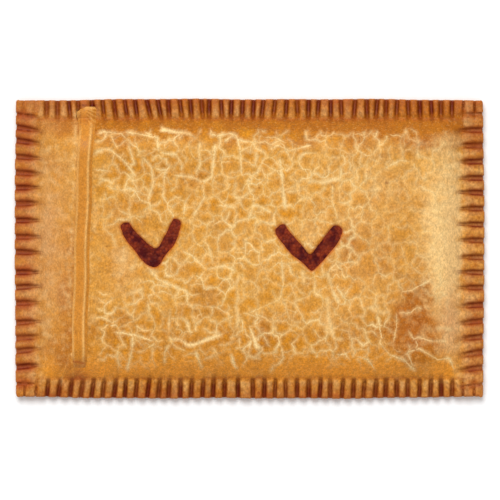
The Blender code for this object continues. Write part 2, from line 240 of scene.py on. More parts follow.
class Side(Enum):
    """The four sides of the rim, counter-clockwise from the front. The value is the outward direction."""

    FRONT = (0, -1)
    RIGHT = (1, 0)
    BACK = (0, 1)
    LEFT = (-1, 0)


class GrooveForm(Enum):
    """How a groove was pressed. The value is half its width, half its floor and its depth.

    After them come the places of the mesh lines beside its middle, as shares of its half width, and how
    many lines there are on each ridge.
    """

    NARROW = (1.45 * MM, 0.3 * MM, 2.5 * MM, (0.28, 0.62, 1.0, 1.3), 2)
    BROAD = (1.9 * MM, 1.1 * MM, 1.6 * MM, (0.3, 0.6, 0.8, 1.0, 1.3), 3)


@dataclass(frozen=True)
class CrimpRow:
    """Grooves pressed across one side of the rim.

    A point of the row is given by its place along the side and its distance inward from the edge.
    Each item of uneven is a ridge's number and its share of the usual width, and each item of swept
    is a place along the side, a spread and the lean of the grooves there.
    """

    pie: PieShape
    side: Side
    form: GrooveForm
    count: int
    reach: float
    salt: float
    swept: Sequence[tuple[float, float, float]]
    uneven: Sequence[tuple[int, float]] = ()
    # skew: how much lighter one wall of each broad groove is painted than the other, as painted shade.
    skew: float = 0.0
    faint_start: float = 0.6
    faint_end: float = 0.6
    ruddy: float = 1.0
    jitter: float = 0.10
    lean: float = 0.08
    run: float = 0.78
    fade: float = 0.33
    wander: float = 0.6 * MM
    nick: float = 0.14 * MM
    edge_bow: float = 0.8 * MM
    inset: float = 0.08 * MM
    ridge_crown: float = 0.42 * MM

    @property
    def along_x(self) -> bool:
        """Whether the row runs along X."""
        return self.side in (Side.FRONT, Side.BACK)

    @property
    def half(self) -> float:
        """Distance from the middle of the pie to this side."""
        return float(self.pie.half[1 if self.along_x else 0])

    @property
    def half_run(self) -> float:
        """Half the length of this side."""
        return float(self.pie.half[0 if self.along_x else 1])

    @property
    def band(self) -> float:
        """Width of the rim on this side."""
        return self.pie.side_band if self.along_x else self.pie.end_band

    @property
    def crossing(self) -> float:
        """Width of the rim on the sides that this one meets."""
        return self.pie.end_band if self.along_x else self.pie.side_band

    @property
    def pitch(self) -> float:
        """Usual distance from groove to groove."""
        return 2 * self.reach / (self.count - 1)

    @cached_property
    def centres(self) -> Array:
        """Place of each groove along the side."""
        steps = np.ones(self.count)
        for ridge, share in self.uneven:
            steps[ridge] = share
        index = np.arange(self.count)
        jitter = (hashed(index, self.salt) - 0.5) * self.jitter * self.pitch
        run = np.cumsum(steps) - steps[0]
        return self.reach * (2 * run / run[-1] - 1) + jitter

    @cached_property
    def leans(self) -> Array:
        """Sideways shift of each groove for each metre inward."""
        leans = (hashed(np.arange(self.count), self.salt + 1) - 0.5) * self.lean
        for middle, spread, lean in self.swept:
            leans = leans + lean * bell((self.centres - middle) / spread)
        return leans

    def place(self, along: Array, inward: Array) -> Array:
        """Plan points of this row."""
        across = sum(self.side.value) * (self.half - np.broadcast_to(inward, np.shape(along)))
        return np.stack([along, across] if self.along_x else [across, along], axis=-1)

    def coordinates(self, x: Array, y: Array) -> tuple[Array, Array]:
        """Place along the side and distance inward of points given in plan."""
        along, across = (x, y) if self.along_x else (y, x)
        return along, self.half - sum(self.side.value) * across

    def nearest(self, along: Array, inward: Array) -> tuple[Array, Array]:
        """The groove nearest to each point.

        Args:
            along: places along the side.
            inward: distances inward from the edge.

        Returns:
            The signed distance from the middle of that groove, and its number.
        """
        after = np.searchsorted(self.centres, along)
        offset = np.full(np.shape(along), self.half)
        which = np.zeros(np.shape(along), int)
        for step in (-2, -1, 0, 1):
            index = np.clip(after + step, 0, self.count - 1)
            gap = along - self.centres[index] - self.leans[index] * inward
            closer = np.abs(gap) < np.abs(offset)
            offset = np.where(closer, gap, offset)
            which = np.where(closer, index, which)
        return offset, which

    @cached_property
    def stations(self) -> Array:
        """Mesh lines across the row: the place along the side and the lean of each."""
        half_width, _, _, offsets, ridges = self.form.value
        lines = []
        for centre, lean in zip(self.centres, self.leans):
            lines += [(centre + side * share * half_width, lean) for share in offsets for side in (-1, 1)]
            lines.append((centre, lean))
        ends = [self.centres[0] - self.pitch, *self.centres, self.centres[-1] + self.pitch]
        edge = half_width * offsets[-1]
        for before, after in zip(ends, ends[1:]):
            gaps = np.linspace(before + edge, after - edge, ridges + 2)[1:-1]
            lines += [(place, 0.0) for place in gaps]
        corner = self.half_run - self.pie.corner_radius - self.edge_bow - 0.6 * MM
        return np.array(sorted(line for line in lines if abs(line[0]) < corner))

    def trim(self, along: Array) -> Array:
        """How far the edge lies inside its straight line: bow, slow wander and a nick at each groove.

        Args:
            along: places along the side.

        Returns:
            The distance at each place.
        """
        slow = np.sin(along / (19 * MM) + self.salt)
        quick = np.sin(along / (7.3 * MM) + 2 * self.salt)
        nick = self.nick * Crimping(self, along, np.zeros(np.shape(along))).wall()
        bow = self.edge_bow * (along / self.half_run) ** 2
        return self.inset + self.wander * (0.5 + 0.3 * slow + 0.2 * quick) + nick + bow


class Crimping:
    """What a row of crimps does to the dough and its glaze at some places, with the shade and highlights painted
    there. Each method has a value for each place.
    """

    def __init__(self, row: CrimpRow, along: Array, inward: Array) -> None:
        """Finds the groove nearest to each place.

        Args:
            row: the row.
            along: places along the side.
            inward: distances inward from the edge.
        """
        self.row, self.along, self.inward = row, along, inward
        self.offset, self.which = row.nearest(along, inward)
        self.share = inward / row.band
        self.half_width, self.floor, self.depth = row.form.value[:3]
        self.narrow = row.form is GrooveForm.NARROW

    def luck(self, number: int) -> Array:
        """A number from 0 to 1 that is the same all over a groove."""
        return hashed(self.which, self.row.salt + number)

    def in_corner(self) -> Array:
        """Whether the groove lies in the square that two rows share."""
        return np.abs(self.row.centres[self.which]) > self.row.half_run - self.row.crossing

    def pressed(self) -> Array:
        """How firmly the groove was pressed, from 0 to 1: less so in the corners."""
        share = np.where(self.row.centres[self.which] < 0, self.row.faint_start, self.row.faint_end)
        return np.where(self.in_corner(), share, 1.0)

    def slim(self) -> Array:
        """Share of the usual width of the groove: those in the corners are fine lines."""
        return np.where(self.in_corner(), 0.5, 0.88 + 0.24 * self.luck(9))

    def taper(self) -> Array:
        """Share of the full width along the groove, which narrows towards its inner end."""
        return 1 - (0.1 if self.narrow else 0.4) * smooth((self.share - 0.35) / 0.6)

    def wall(self) -> Array:
        """Share of the full depth across the groove, from 0 on a ridge to 1 on its floor."""
        slim, foot = self.slim() * self.taper(), 1.12 * self.half_width
        return smooth((foot * slim - np.abs(self.offset)) / ((foot - 0.7 * self.floor) * slim))

    def fading(self) -> Array:
        """Share of the full depth along the groove, from 1 near the edge to 0 at its inner end."""
        run = self.row.run + 0.1 * (self.luck(2) - 0.5)
        return 1 - smooth((self.share - run) / self.row.fade)

    def groove(self) -> Array:
        """Depth pressed into the rim."""
        return self.depth * (0.88 + 0.2 * self.luck(3)) * self.wall() * self.fading() * self.pressed()

    def ridge(self) -> Array:
        """Rise of the pillow between two grooves, with a lift at its inner end.

        Returns:
            The rise at each place.
        """
        foot = 0.8 * self.half_width
        across = np.sqrt(smooth((np.abs(self.offset) - foot) / (self.row.pitch / 2 - foot)))
        along_ridge = smooth((self.share + 0.05) / 0.25) * (1 - smooth((self.share - 0.8) / 0.35))
        return self.row.ridge_crown * across * along_ridge * (0.7 + 0.35 * bell((self.share - 0.72) / 0.2))

    def darkness(self) -> Array:
        """How dark a groove is painted: glaze baked dark on its walls and floor, with painted shade on its walls and
        flanks.

        Returns:
            The darkness at each place, from 0 to 1.
        """
        across = self.offset / (self.half_width * self.taper() * self.slim())
        share = self.share - 0.2 * self.luck(4)
        outer, inner = (1 - smooth((share - start) / 0.4) for start in (0.46, 0.82))
        if self.narrow:
            soft = 1.02 + 0.65 * self.luck(8)
            dark = smooth((across + soft) / (soft - 0.3)) * smooth((1.15 - across) / 0.45)
            dark = dark * np.maximum(0.65 * outer, 0.36 * inner) * (1 + 0.3 * bell((across - 0.15) / 0.45))
        else:
            # Dark lines on both walls and a soft flank beside them: painted shade.
            lines = bell((np.abs(across) - 0.66) / 0.22) * inner
            # The floor is painted paler down its middle: a painted glint on the shiny glaze.
            floor = smooth((1.15 - np.abs(across)) / 0.5) * outer * (1 - 0.45 * bell(across / 0.3))
            flank = smooth((2.1 - np.abs(across)) / 1.4) * inner
            dark = np.max([0.95 * lines, 0.7 * floor, 0.3 * flank], axis=0)
            # Painted shade: one wall of a broad groove is painted lighter than the other.
            dark = dark * (1 - self.row.skew * smooth(0.5 + across))
            dark = dark * (0.6 + 0.4 * smooth((self.inward - 0.5 * MM) / (1.4 * MM)))
        return clamped(dark * (0.72 + 0.45 * self.luck(5)) * self.pressed())

    def painted_highlight(self) -> Array:
        """Painted highlight: how much paler a ridge's crest is painted, with pale streaks, most of all at its inner
        end.

        Returns:
            The paleness at each place, from 0 to 1.
        """
        side = np.abs(self.offset) - 0.8 * self.half_width * self.taper()
        crest = smooth(side / (0.6 * (self.row.pitch / 2 - 0.8 * self.half_width)))
        ridge = hashed(np.round(self.along / self.row.pitch), self.row.salt + 7)
        share = self.share + 0.2 * (1 - crest) ** 2 + 0.1 * (ridge - 0.5)
        streaks = smooth((blobs(self.along, self.inward / 5, 0.8 * MM, self.row.salt + 6) - 0.3) / 0.4)
        pale = crest * (0.1 + 0.55 * bell((share - 0.76) / 0.26) + 0.35 * streaks) * (0.55 + 0.45 * ridge)
        # A painted glint down the middle of each broad groove's floor.
        if not self.narrow:
            pale = np.maximum(pale, bell(self.offset / (0.3 * self.half_width)) * (0.4 + 0.6 * streaks))
        return pale * (1 - smooth((share - 0.9) / 0.1))

    def reddening_and_shade(self) -> Array:
        """How red-brown the ridges are painted: baked red at the edge and a little all over, darker beside the grooves
        partly as painted shade, and a painted shadow round their inner ends.

        Returns:
            The redness at each place, from 0 to 1.
        """
        at_edge, depth, beside, more, at_end = (0.8, 8, 0.4, 0.12, 0.5) if self.narrow else (0.6, 3.6, 0.75, 0.22, 0.1)
        lined = 0.85 + 0.15 * np.sin(self.inward / (0.2 * MM) + 2 * np.sin(self.along / (2 * MM)))
        edge = at_edge * (1 - smooth((self.inward - 0.4 * MM) / (depth * MM))) * lined
        # Darker beside each groove: partly baked, partly painted shade on the ridge's flank.
        near = bell(self.offset / (1.9 * self.half_width)) * beside + more
        shadow = at_end * bell((self.share - 1.06 + 0.1 * bell(self.offset / self.half_width)) / 0.07)
        inner = 1 - smooth((self.share - 0.55) / 0.6)
        return self.row.ruddy * np.max([edge, near * inner, shadow], axis=0)


def crimp_rows(pie: PieShape) -> dict[Side, CrimpRow]:
    """The four rows of grooves round the rim, counter-clockwise from the front.

    Args:
        pie: the driving sizes.

    Returns:
        Each side's row.
    """
    narrow = {"pie": pie, "form": GrooveForm.NARROW, "reach": 119.4 * MM}
    broad = {"pie": pie, "form": GrooveForm.BROAD, "reach": 71.6 * MM, "count": 18, "skew": 0.12}
    broad |= {"nick": 0.4 * MM, "wander": 0.25 * MM}
    rows = (
        CrimpRow(
            side=Side.FRONT,
            count=41,
            salt=2.0,
            uneven=((19, 1.27), (20, 1.36)),
            swept=((-80 * MM, 65 * MM, 0.13), (60 * MM, 25 * MM, 0.06)),
            nick=0.3 * MM,
            **narrow,
        ),
        CrimpRow(side=Side.RIGHT, salt=4.0, swept=((-55 * MM, 25 * MM, -0.12),), ruddy=0.7, **broad),
        CrimpRow(
            side=Side.BACK,
            count=42,
            salt=1.0,
            uneven=((5, 0.8), (6, 1.25), (17, 0.75), (30, 1.3), (33, 0.8)),
            swept=((-58 * MM, 28 * MM, 0.16), (5 * MM, 30 * MM, -0.05)),
            lean=0.16,
            faint_start=0.1,
            **narrow,
        ),
        CrimpRow(
            side=Side.LEFT,
            salt=3.0,
            uneven=((3, 0.75), (5, 1.2), (8, 1.2), (16, 0.8), (17, 0.8)),
            swept=((62 * MM, 16 * MM, -0.14), (-50 * MM, 20 * MM, 0.12)),
            **broad,
        ),
    )
    return {row.side: row for row in rows}


# -------- vents


@dataclass(frozen=True)
class Vent:
    """A V-shaped cut. The corners of its outline are x, y, x, y and so on in millimetres, counter-clockwise."""

    corners: tuple[float, ...]

    @cached_property
    def outline(self) -> Array:
        """The outline with its corners rounded off."""
        line = np.reshape(self.corners, (-1, 2)) * MM
        for _ in range(2):
            after = np.roll(line, -1, axis=0)
            line = np.stack([0.75 * line + 0.25 * after, 0.25 * line + 0.75 * after], axis=1).reshape(-1, 2)
        return line

    def loop(self, spacing: float, grow: float = 0.0, ragged: float = 0.0) -> Array:
        """The outline in even steps.

        Args:
            spacing: length of a step, which sets the same count of points for every growth.
            grow: distance outward from the nominal outline.
            ragged: how far the cut wanders to either side.

        Returns:
            Points, counter-clockwise.
        """
        closed = np.vstack([self.outline, self.outline[:1]])
        run = np.concatenate([[0.0], np.cumsum(np.linalg.norm(np.diff(closed, axis=0), axis=1))])
        count = round(run[-1] / spacing)
        places = np.arange(count) / count * run[-1]
        line = np.column_stack([np.interp(places, run, closed[:, axis]) for axis in (0, 1)])
        wander = cloud(line[:, 0], line[:, 1], 2.6 * MM, 5.0) - 0.5
        return draw_in(line, 2 * ragged * wander - grow)

    def distance(self, x: Array, y: Array) -> Array:
        """Distance from the outline, negative inside the cut, and 20 mm wherever it is well away.

        Args:
            x: places along X.
            y: places along Y.

        Returns:
            The distance at each place.
        """
        points = np.column_stack([np.ravel(x), np.ravel(y)])
        low, high = self.outline.min(axis=0) - 4 * MM, self.outline.max(axis=0) + 4 * MM
        close = ((points > low) & (points < high)).all(axis=1)
        run = np.roll(self.outline, -1, axis=0) - self.outline
        away = points[close][:, None] - self.outline
        share = clamped((away * run).sum(axis=2) / (run * run).sum(axis=1))
        gap = np.linalg.norm(away - share[..., None] * run, axis=2).min(axis=1, initial=20 * MM)
        nearest = np.full(len(points), 20 * MM)
        nearest[close] = np.where(inside(self.outline, points[close]), -gap, gap)
        return nearest.reshape(np.shape(x))


LEFT_VENT = (
    -51.9, -9.9, -50.2, -10.0, -48.2, -9.4, -46.1, -6.0, -43.6, -2.5, -41.3, 0.1, -39.1, 3.4, -37.6, 7.1, -36.9, 9.9,
    -36.3, 13.2, -36.7, 15.0, -38.5, 15.7, -40.0, 16.3, -40.8, 15.4, -41.9, 13.0, -43.2, 10.1, -45.1, 6.7, -46.9, 3.4,
    -48.2, 1.2, -49.4, 0.2, -50.8, 0.4, -52.6, 1.8, -55.9, 4.4, -58.7, 7.5, -61.5, 10.3, -63.0, 12.6, -64.0, 14.0,
    -66.0, 13.9, -68.0, 13.2, -68.7, 11.9, -68.1, 9.9, -66.7, 6.3, -64.5, 3.2, -62.0, 0.3, -59.6, -2.9, -57.1, -6.2,
    -54.7, -8.4,
)
RIGHT_VENT = (
    31.6, -11.2, 33.0, -12.0, 34.9, -10.8, 36.9, -9.0, 38.6, -7.2, 40.2, -5.1, 42.2, -2.9, 44.5, -0.4, 46.3, 2.0,
    48.0, 4.9, 49.1, 7.8, 49.5, 9.7, 48.7, 11.1, 47.1, 12.2, 45.5, 12.5, 44.2, 12.1, 43.0, 10.6, 40.6, 7.4, 38.6, 4.9,
    36.5, 2.2, 34.5, -0.4, 33.4, -2.0, 32.1, -2.9, 30.9, -2.3, 29.2, 0.0, 27.1, 2.6, 24.7, 5.3, 22.2, 8.0, 20.2, 10.3,
    19.1, 12.5, 17.9, 13.1, 16.3, 12.9, 14.9, 11.7, 13.4, 10.5, 13.7, 8.2, 15.1, 5.7, 16.9, 3.3, 19.0, 0.8, 21.4, -2.1,
    23.8, -4.5, 26.3, -6.3, 28.7, -8.3, 30.4, -10.1,
)
VENTS = (Vent(LEFT_VENT), Vent(RIGHT_VENT))


def vent_distance(x: Array, y: Array) -> Array:
    """Distance from the nearest vent, negative inside it."""
    return np.min([vent.distance(x, y) for vent in VENTS], axis=0)


# -------- meshes


def draw_in(loop: Array, distance: Array | float) -> Array:
    """The counter-clockwise loop with every side moved inward by the distance.

    Args:
        loop: its points.
        distance: one distance, or one for each point.

    Returns:
        The moved points.
    """
    sides = np.roll(loop, -1, axis=0) - loop
    after = np.column_stack([sides[:, 1], -sides[:, 0]]) / np.linalg.norm(sides, axis=1)[:, None]
    before = np.roll(after, 1, axis=0)
    both = (before + after) / np.linalg.norm(before + after, axis=1)[:, None]
    reach = distance / (both * after).sum(axis=1)
    return loop - both * reach[:, None]


def inside(loop: Array, points: Array) -> Array:
    """Whether each point lies inside the closed loop.

    Args:
        loop: corners of the loop.
        points: the points in plan.

    Returns:
        True or False for each point.
    """
    x, y = points[:, 0:1], points[:, 1:2]
    x0, y0 = loop[:, 0], loop[:, 1]
    x1, y1 = np.roll(x0, -1), np.roll(y0, -1)
    straddles = (y0 > y) != (y1 > y)
    reach = (x1 - x0) * (y - y0) / np.where(y1 == y0, 1.0, y1 - y0) + x0
    return (straddles & (x < reach)).sum(axis=1) % 2 == 1


def staggered(half: Array, spacing: float) -> Array:
    """Points of a staggered grid over a centred rectangle.

    Args:
        half: half the rectangle's length and width.
        spacing: distance between neighbours.

    Returns:
        The points.
    """
    columns, rows = int(half[0] // spacing), int(half[1] // (spacing * 0.87))
    row, column = np.mgrid[-rows : rows + 1, -columns:columns]
    return np.column_stack([(column + 0.5 * (row % 2)).ravel() * spacing, row.ravel() * spacing * 0.87])


class Scatter:
    """Plan points that keep apart, taken in the order that they are offered."""

    def __init__(self, cell: float = 1.3 * MM) -> None:
        """Starts with no points.

        Args:
            cell: side of the square cells that neighbours are looked up in.
        """
        self.cell = cell
        self.cells: dict[tuple[int, int], list[tuple[float, float]]] = {}
        self.taken: list[tuple[float, float]] = []

    def hold(self, points: Iterable[Sequence[float]]) -> None:
        """Keeps others away from these points, which aren't taken themselves."""
        for x, y in points:
            self.cells.setdefault((int(x // self.cell), int(y // self.cell)), []).append((x, y))

    def offer(self, points: Array, spacing: float) -> None:
        """Takes each point that lies at least the spacing from every one so far.

        Args:
            points: the points in plan, in their order.
            spacing: the least distance.
        """
        least = spacing * spacing
        for x, y in points.tolist():
            column, row = int(x // self.cell), int(y // self.cell)
            near = (
                other
                for across in (-1, 0, 1)
                for up in (-1, 0, 1)
                for other in self.cells.get((column + across, row + up), ())
            )
            if all((x - u) ** 2 + (y - v) ** 2 >= least for u, v in near):
                self.cells.setdefault((column, row), []).append((x, y))
                self.taken.append((x, y))


class Sheet:
    """A plan of triangles between an outer loop and holes, with the points of the loops first."""

    def __init__(self, outer: Array, holes: Sequence[Array], points: Sequence[Sequence[float]]) -> None:
        """Triangulates the plan.

        Args:
            outer: counter-clockwise outline.
            holes: loops that are left open.
            points: further points, inside the outline and outside the holes.
        """
        loops = [outer, *holes]
        starts = np.cumsum([0] + [len(loop) for loop in loops])
        self.loops = [np.arange(a, b) for a, b in zip(starts[:-1], starts[1:])]
        inner = np.array(points, float).reshape(-1, 2)
        self.plan = np.vstack([*loops, inner])
        coords = [Vector(point) for point in (self.plan / MM).tolist()]
        rings = [ring.tolist() for ring in self.loops]
        result = delaunay_2d_cdt(coords, [], rings, 0, 1e-5, True)
        source = np.array([found[0] for found in result[3]])
        kept = [face for face, regions in zip(result[2], result[5]) if list(regions) == [0]]
        self.triangles = source[np.array(kept)]


def in_scene(name: str, data: bpy.types.ID) -> Object:
    """Puts a new object into the scene.

    Args:
        name: its name.
        data: the mesh, light or camera that it shows.

    Returns:
        The object.
    """
    made = bpy.data.objects.new(name, data)
    bpy.context.scene.collection.objects.link(made)
    return made


class Shell:
    """A mesh in the making, with a value for each vertex in each of its fields."""

    def __init__(self, fields: Sequence[str]) -> None:
        """Starts empty.

        Args:
            fields: names of the values that shaders read.
        """
        self.fields = tuple(fields)
        self.points: list[Array] = []
        self.values: list[Array] = []
        self.faces: list[Array] = []
        self.count = 0

    def add(self, plan: Array, heights: Array | float, values: dict[str, Array | float]) -> Array:
        """Adds vertices.

        Args:
            plan: points in plan.
            heights: height of each.
            values: the fields that aren't 0, each as one number or one for each point.

        Returns:
            The numbers of the new vertices.
        """
        tall = np.broadcast_to(heights, len(plan))
        self.points.append(np.column_stack([plan, tall]))
        rows = [np.broadcast_to(values.get(name, 0.0), len(plan)) for name in self.fields]
        self.values.append(np.column_stack(rows))
        first = self.count
        self.count += len(plan)
        return np.arange(first, self.count)

    def sheet(self, vertices: Array, triangles: Array) -> None:
        """Adds the triangles of a sheet whose points were added in their order."""
        self.faces.append(vertices[triangles])

    def join(self, first: Array, second: Array) -> None:
        """Adds a band of triangles between two rings of the same count."""
        for corners in ((first, np.roll(first, -1), np.roll(second, -1)), (first, np.roll(second, -1), second)):
            self.faces.append(np.column_stack(corners))

    def cap(self, ring: Array, middle: Sequence[float], height: float, values: dict[str, float]) -> None:
        """Closes a ring with triangles to one new vertex, at a place in plan and a height, with these fields."""
        (tip,) = self.add(np.array([middle]), height, values)
        self.faces.append(np.column_stack([ring, np.roll(ring, -1), np.full(len(ring), tip)]))

    def close_below(self, ring: Array, plan: Array, height: float, values: dict[str, float]) -> None:
        """Adds a wall down from a ring, and a flat floor at its foot.

        Args:
            ring: vertices at the top of the wall.
            plan: the foot of the wall in plan.
            height: height of the floor.
            values: the fields of the floor that aren't 0.
        """
        foot = self.add(plan, height, values)
        self.join(ring, foot)
        self.cap(foot, (0.0, 0.0), height, values)

    def piece(self, name: str, material: Material, crease: float) -> Object:
        """Makes the object.

        Args:
            name: its name.
            material: its one material.
            crease: edges that bend more than this angle stay sharp.

        Returns:
            The new object, in the scene.
        """
        mesh = bpy.data.meshes.new(name)
        mesh.from_pydata(np.vstack(self.points).tolist(), [], np.vstack(self.faces).tolist())
        shape = bmesh.new()
        shape.from_mesh(mesh)
        bmesh.ops.recalc_face_normals(shape, faces=shape.faces)
        shape.to_mesh(mesh)
        shape.free()
        values = np.vstack(self.values)
        for column, field_name in enumerate(self.fields):
            layer = mesh.attributes.new(field_name, "FLOAT", "POINT")
            layer.data.foreach_set("value", np.ascontiguousarray(values[:, column], np.float32))
        mesh.shade_smooth()
        mesh.set_sharp_from_angle(angle=crease)
        mesh.materials.append(material)
        return in_scene(name, mesh)


# -------- crack network


@dataclass(frozen=True)
class Spot:
    """A soft oval patch of the lid."""

    x: float
    y: float
    reach_x: float
    reach_y: float
    amount: float

    def share(self, x: Array, y: Array) -> Array:
        """The patch's amount at each place."""
        return self.amount * bell(np.hypot((x - self.x) / self.reach_x, (y - self.y) / self.reach_y))


def patches(*rows: tuple[float, float, float, float, float]) -> tuple[Spot, ...]:
    """Patches from their middle and reach in millimetres, and their amount."""
    return tuple(Spot(*(size * MM for size in row[:4]), row[4]) for row in rows)


def spotted(spots: Iterable[Spot], x: Array, y: Array) -> Array:
    """Sum of the patches at each place."""
    return np.sum([spot.share(x, y) for spot in spots], axis=0)


@dataclass(frozen=True)
class BranchOrder:
    """One generation of side cracks, each of which leaves an older crack at a right angle."""

    clear: float
    tries: int
    vivid: float
    width: float
    longest: float
    stop: float


class CrackLook(Enum):
    """How a long crack stands out. The value is its strength and half its width in millimetres."""

    BOLD = (0.92, 0.62)
    CLEAR = (0.82, 0.54)
    SOFT = (0.7, 0.5)
    THIN = (0.85, 0.4)
    WIDE = (0.6, 0.95)


# Each course is x, y, x, y and so on in millimetres
LONG_CRACKS: dict[CrackLook, tuple[tuple[int, ...], ...]] = {
    CrackLook.BOLD: (
        (-47, 65, -46, 63, -32, 61, -28, 58), (-82, 51, -76, 53, -73, 52, -66, 46, -60, 38),
        (-36, -1, -30, -4, -23, -11, -13, -9, -7, -12), (-43, -46, -42, -48, -37, -48, -33, -51, -30, -51, -14, -45),
        (-1, 14, 2, 23, 4, 23, 12, 19), (16, 49, 19, 21), (-40, 39, -30, 38, -25, 35, -20, 38, -18, 56),
    ),
    CrackLook.CLEAR: (
        (-81, 61, -77, 62, -68, 61, -65, 58), (-66, 62, -49, 59, -48, 51), (-48, 51, -39, 50, -36, 45, -36, 41),
        (-57, 49, -52, 43, -51, 35, -54, 25), (-25, 35, -24, 27, -30, 17), (-17, 23, -6, 22),
        (-19, -9, -22, 2, -26, 5), (-50, -13, -49, -16, -33, -23, -33, -30), (-72, -44, -60, -46, -51, -49),
        (-62, -46, -62, -52, -65, -65), (-29, -54, -25, -64), (0, -41, 4, -52, 7, -53), (-17, -51, -13, -51, -8, -49),
        (-10, -55, -8, -62, -6, -64),
    ),
    CrackLook.SOFT: (
        (-56, 62, -51, 60), (-65, 44, -61, 45, -64, 54, -64, 57),
        (-76, 34, -73, 32, -68, 31, -64, 32, -61, 31, -58, 26, -53, 24, -52, 21),
        (-42, 45, -45, 40, -46, 28, -43, 23, -41, 22), (-31, 29, -34, 25, -35, 17),
        (-26, 57, -27, 53, -26, 45, -28, 41, -28, 38), (-22, 61, -18, 60, -10, 61, -7, 60, -5, 53, -4, 38),
        (8, 59, 14, 59, 19, 56), (3, 52, 4, 49, 3, 44, -1, 45), (10, 52, 15, 55, 21, 52, 33, 55), (19, 30, 28, 31),
        (44, 34, 44, 25, 47, 15), (71, 42, 80, 47, 85, 46), (-23, -11, -29, -18), (0, -34, 16, -27, 18, -19, 17, -5),
        (17, -27, 19, -30, 21, -37, 24, -39, 28, -39), (-43, -45, -42, -31), (-42, -50, -45, -55, -45, -61),
        (-50, -50, -56, -54, -60, -55), (-53, -48, -50, -41, -51, -37, -53, -35, -54, -27),
        (-44, -37, -35, -37, -33, -39, -31, -46), (-20, -52, -17, -56, -25, -59), (-82, -37, -79, -36, -73, -39),
        (17, -52, 18, -58, 16, -61, 13, -62, 11, -66), (15, -33, 12, -37, 14, -40),
    ),
    CrackLook.THIN: (
        (-82, 42, -73, 41), (46, -56, 51, -56, 53, -59), (57, -57, 63, -59, 67, -65),
        (68, -35, 70, -47, 69, -50, 74, -56, 82, -59, 88, -65), (78, -34, 78, -42, 76, -50),
        (79, -34, 85, -34, 89, -31, 92, -32), (84, -43, 87, -48, 90, -47, 96, -49, 105, -49),
        (88, -48, 89, -51, 88, -54), (82, -57, 84, -55, 90, -53, 100, -59, 106, -58, 109, -65),
        (84, -50, 85, -53, 84, -56, 87, -63), (80, -23, 86, -22, 97, -16),
    ),
    CrackLook.WIDE: (
        (-7, 36, -8, 29, -7, 27, -4, 27, 3, 32), (30, 35, 33, 36, 39, 35, 45, 37, 50, 37), (63, 31, 70, 32),
        (-5, -13, -7, -19, -6, -26, -7, -30, -6, -38, -7, -43), (28, -11, 29, -20), (41, -11, 44, -22, 48, -30),
        (41, -25, 42, -37, 45, -48, 50, -48), (-67, -25, -56, -21), (62, -32, 65, -31, 67, -33, 71, -34, 75, -33),
        (98, -43, 102, -42, 108, -43),
    ),
}


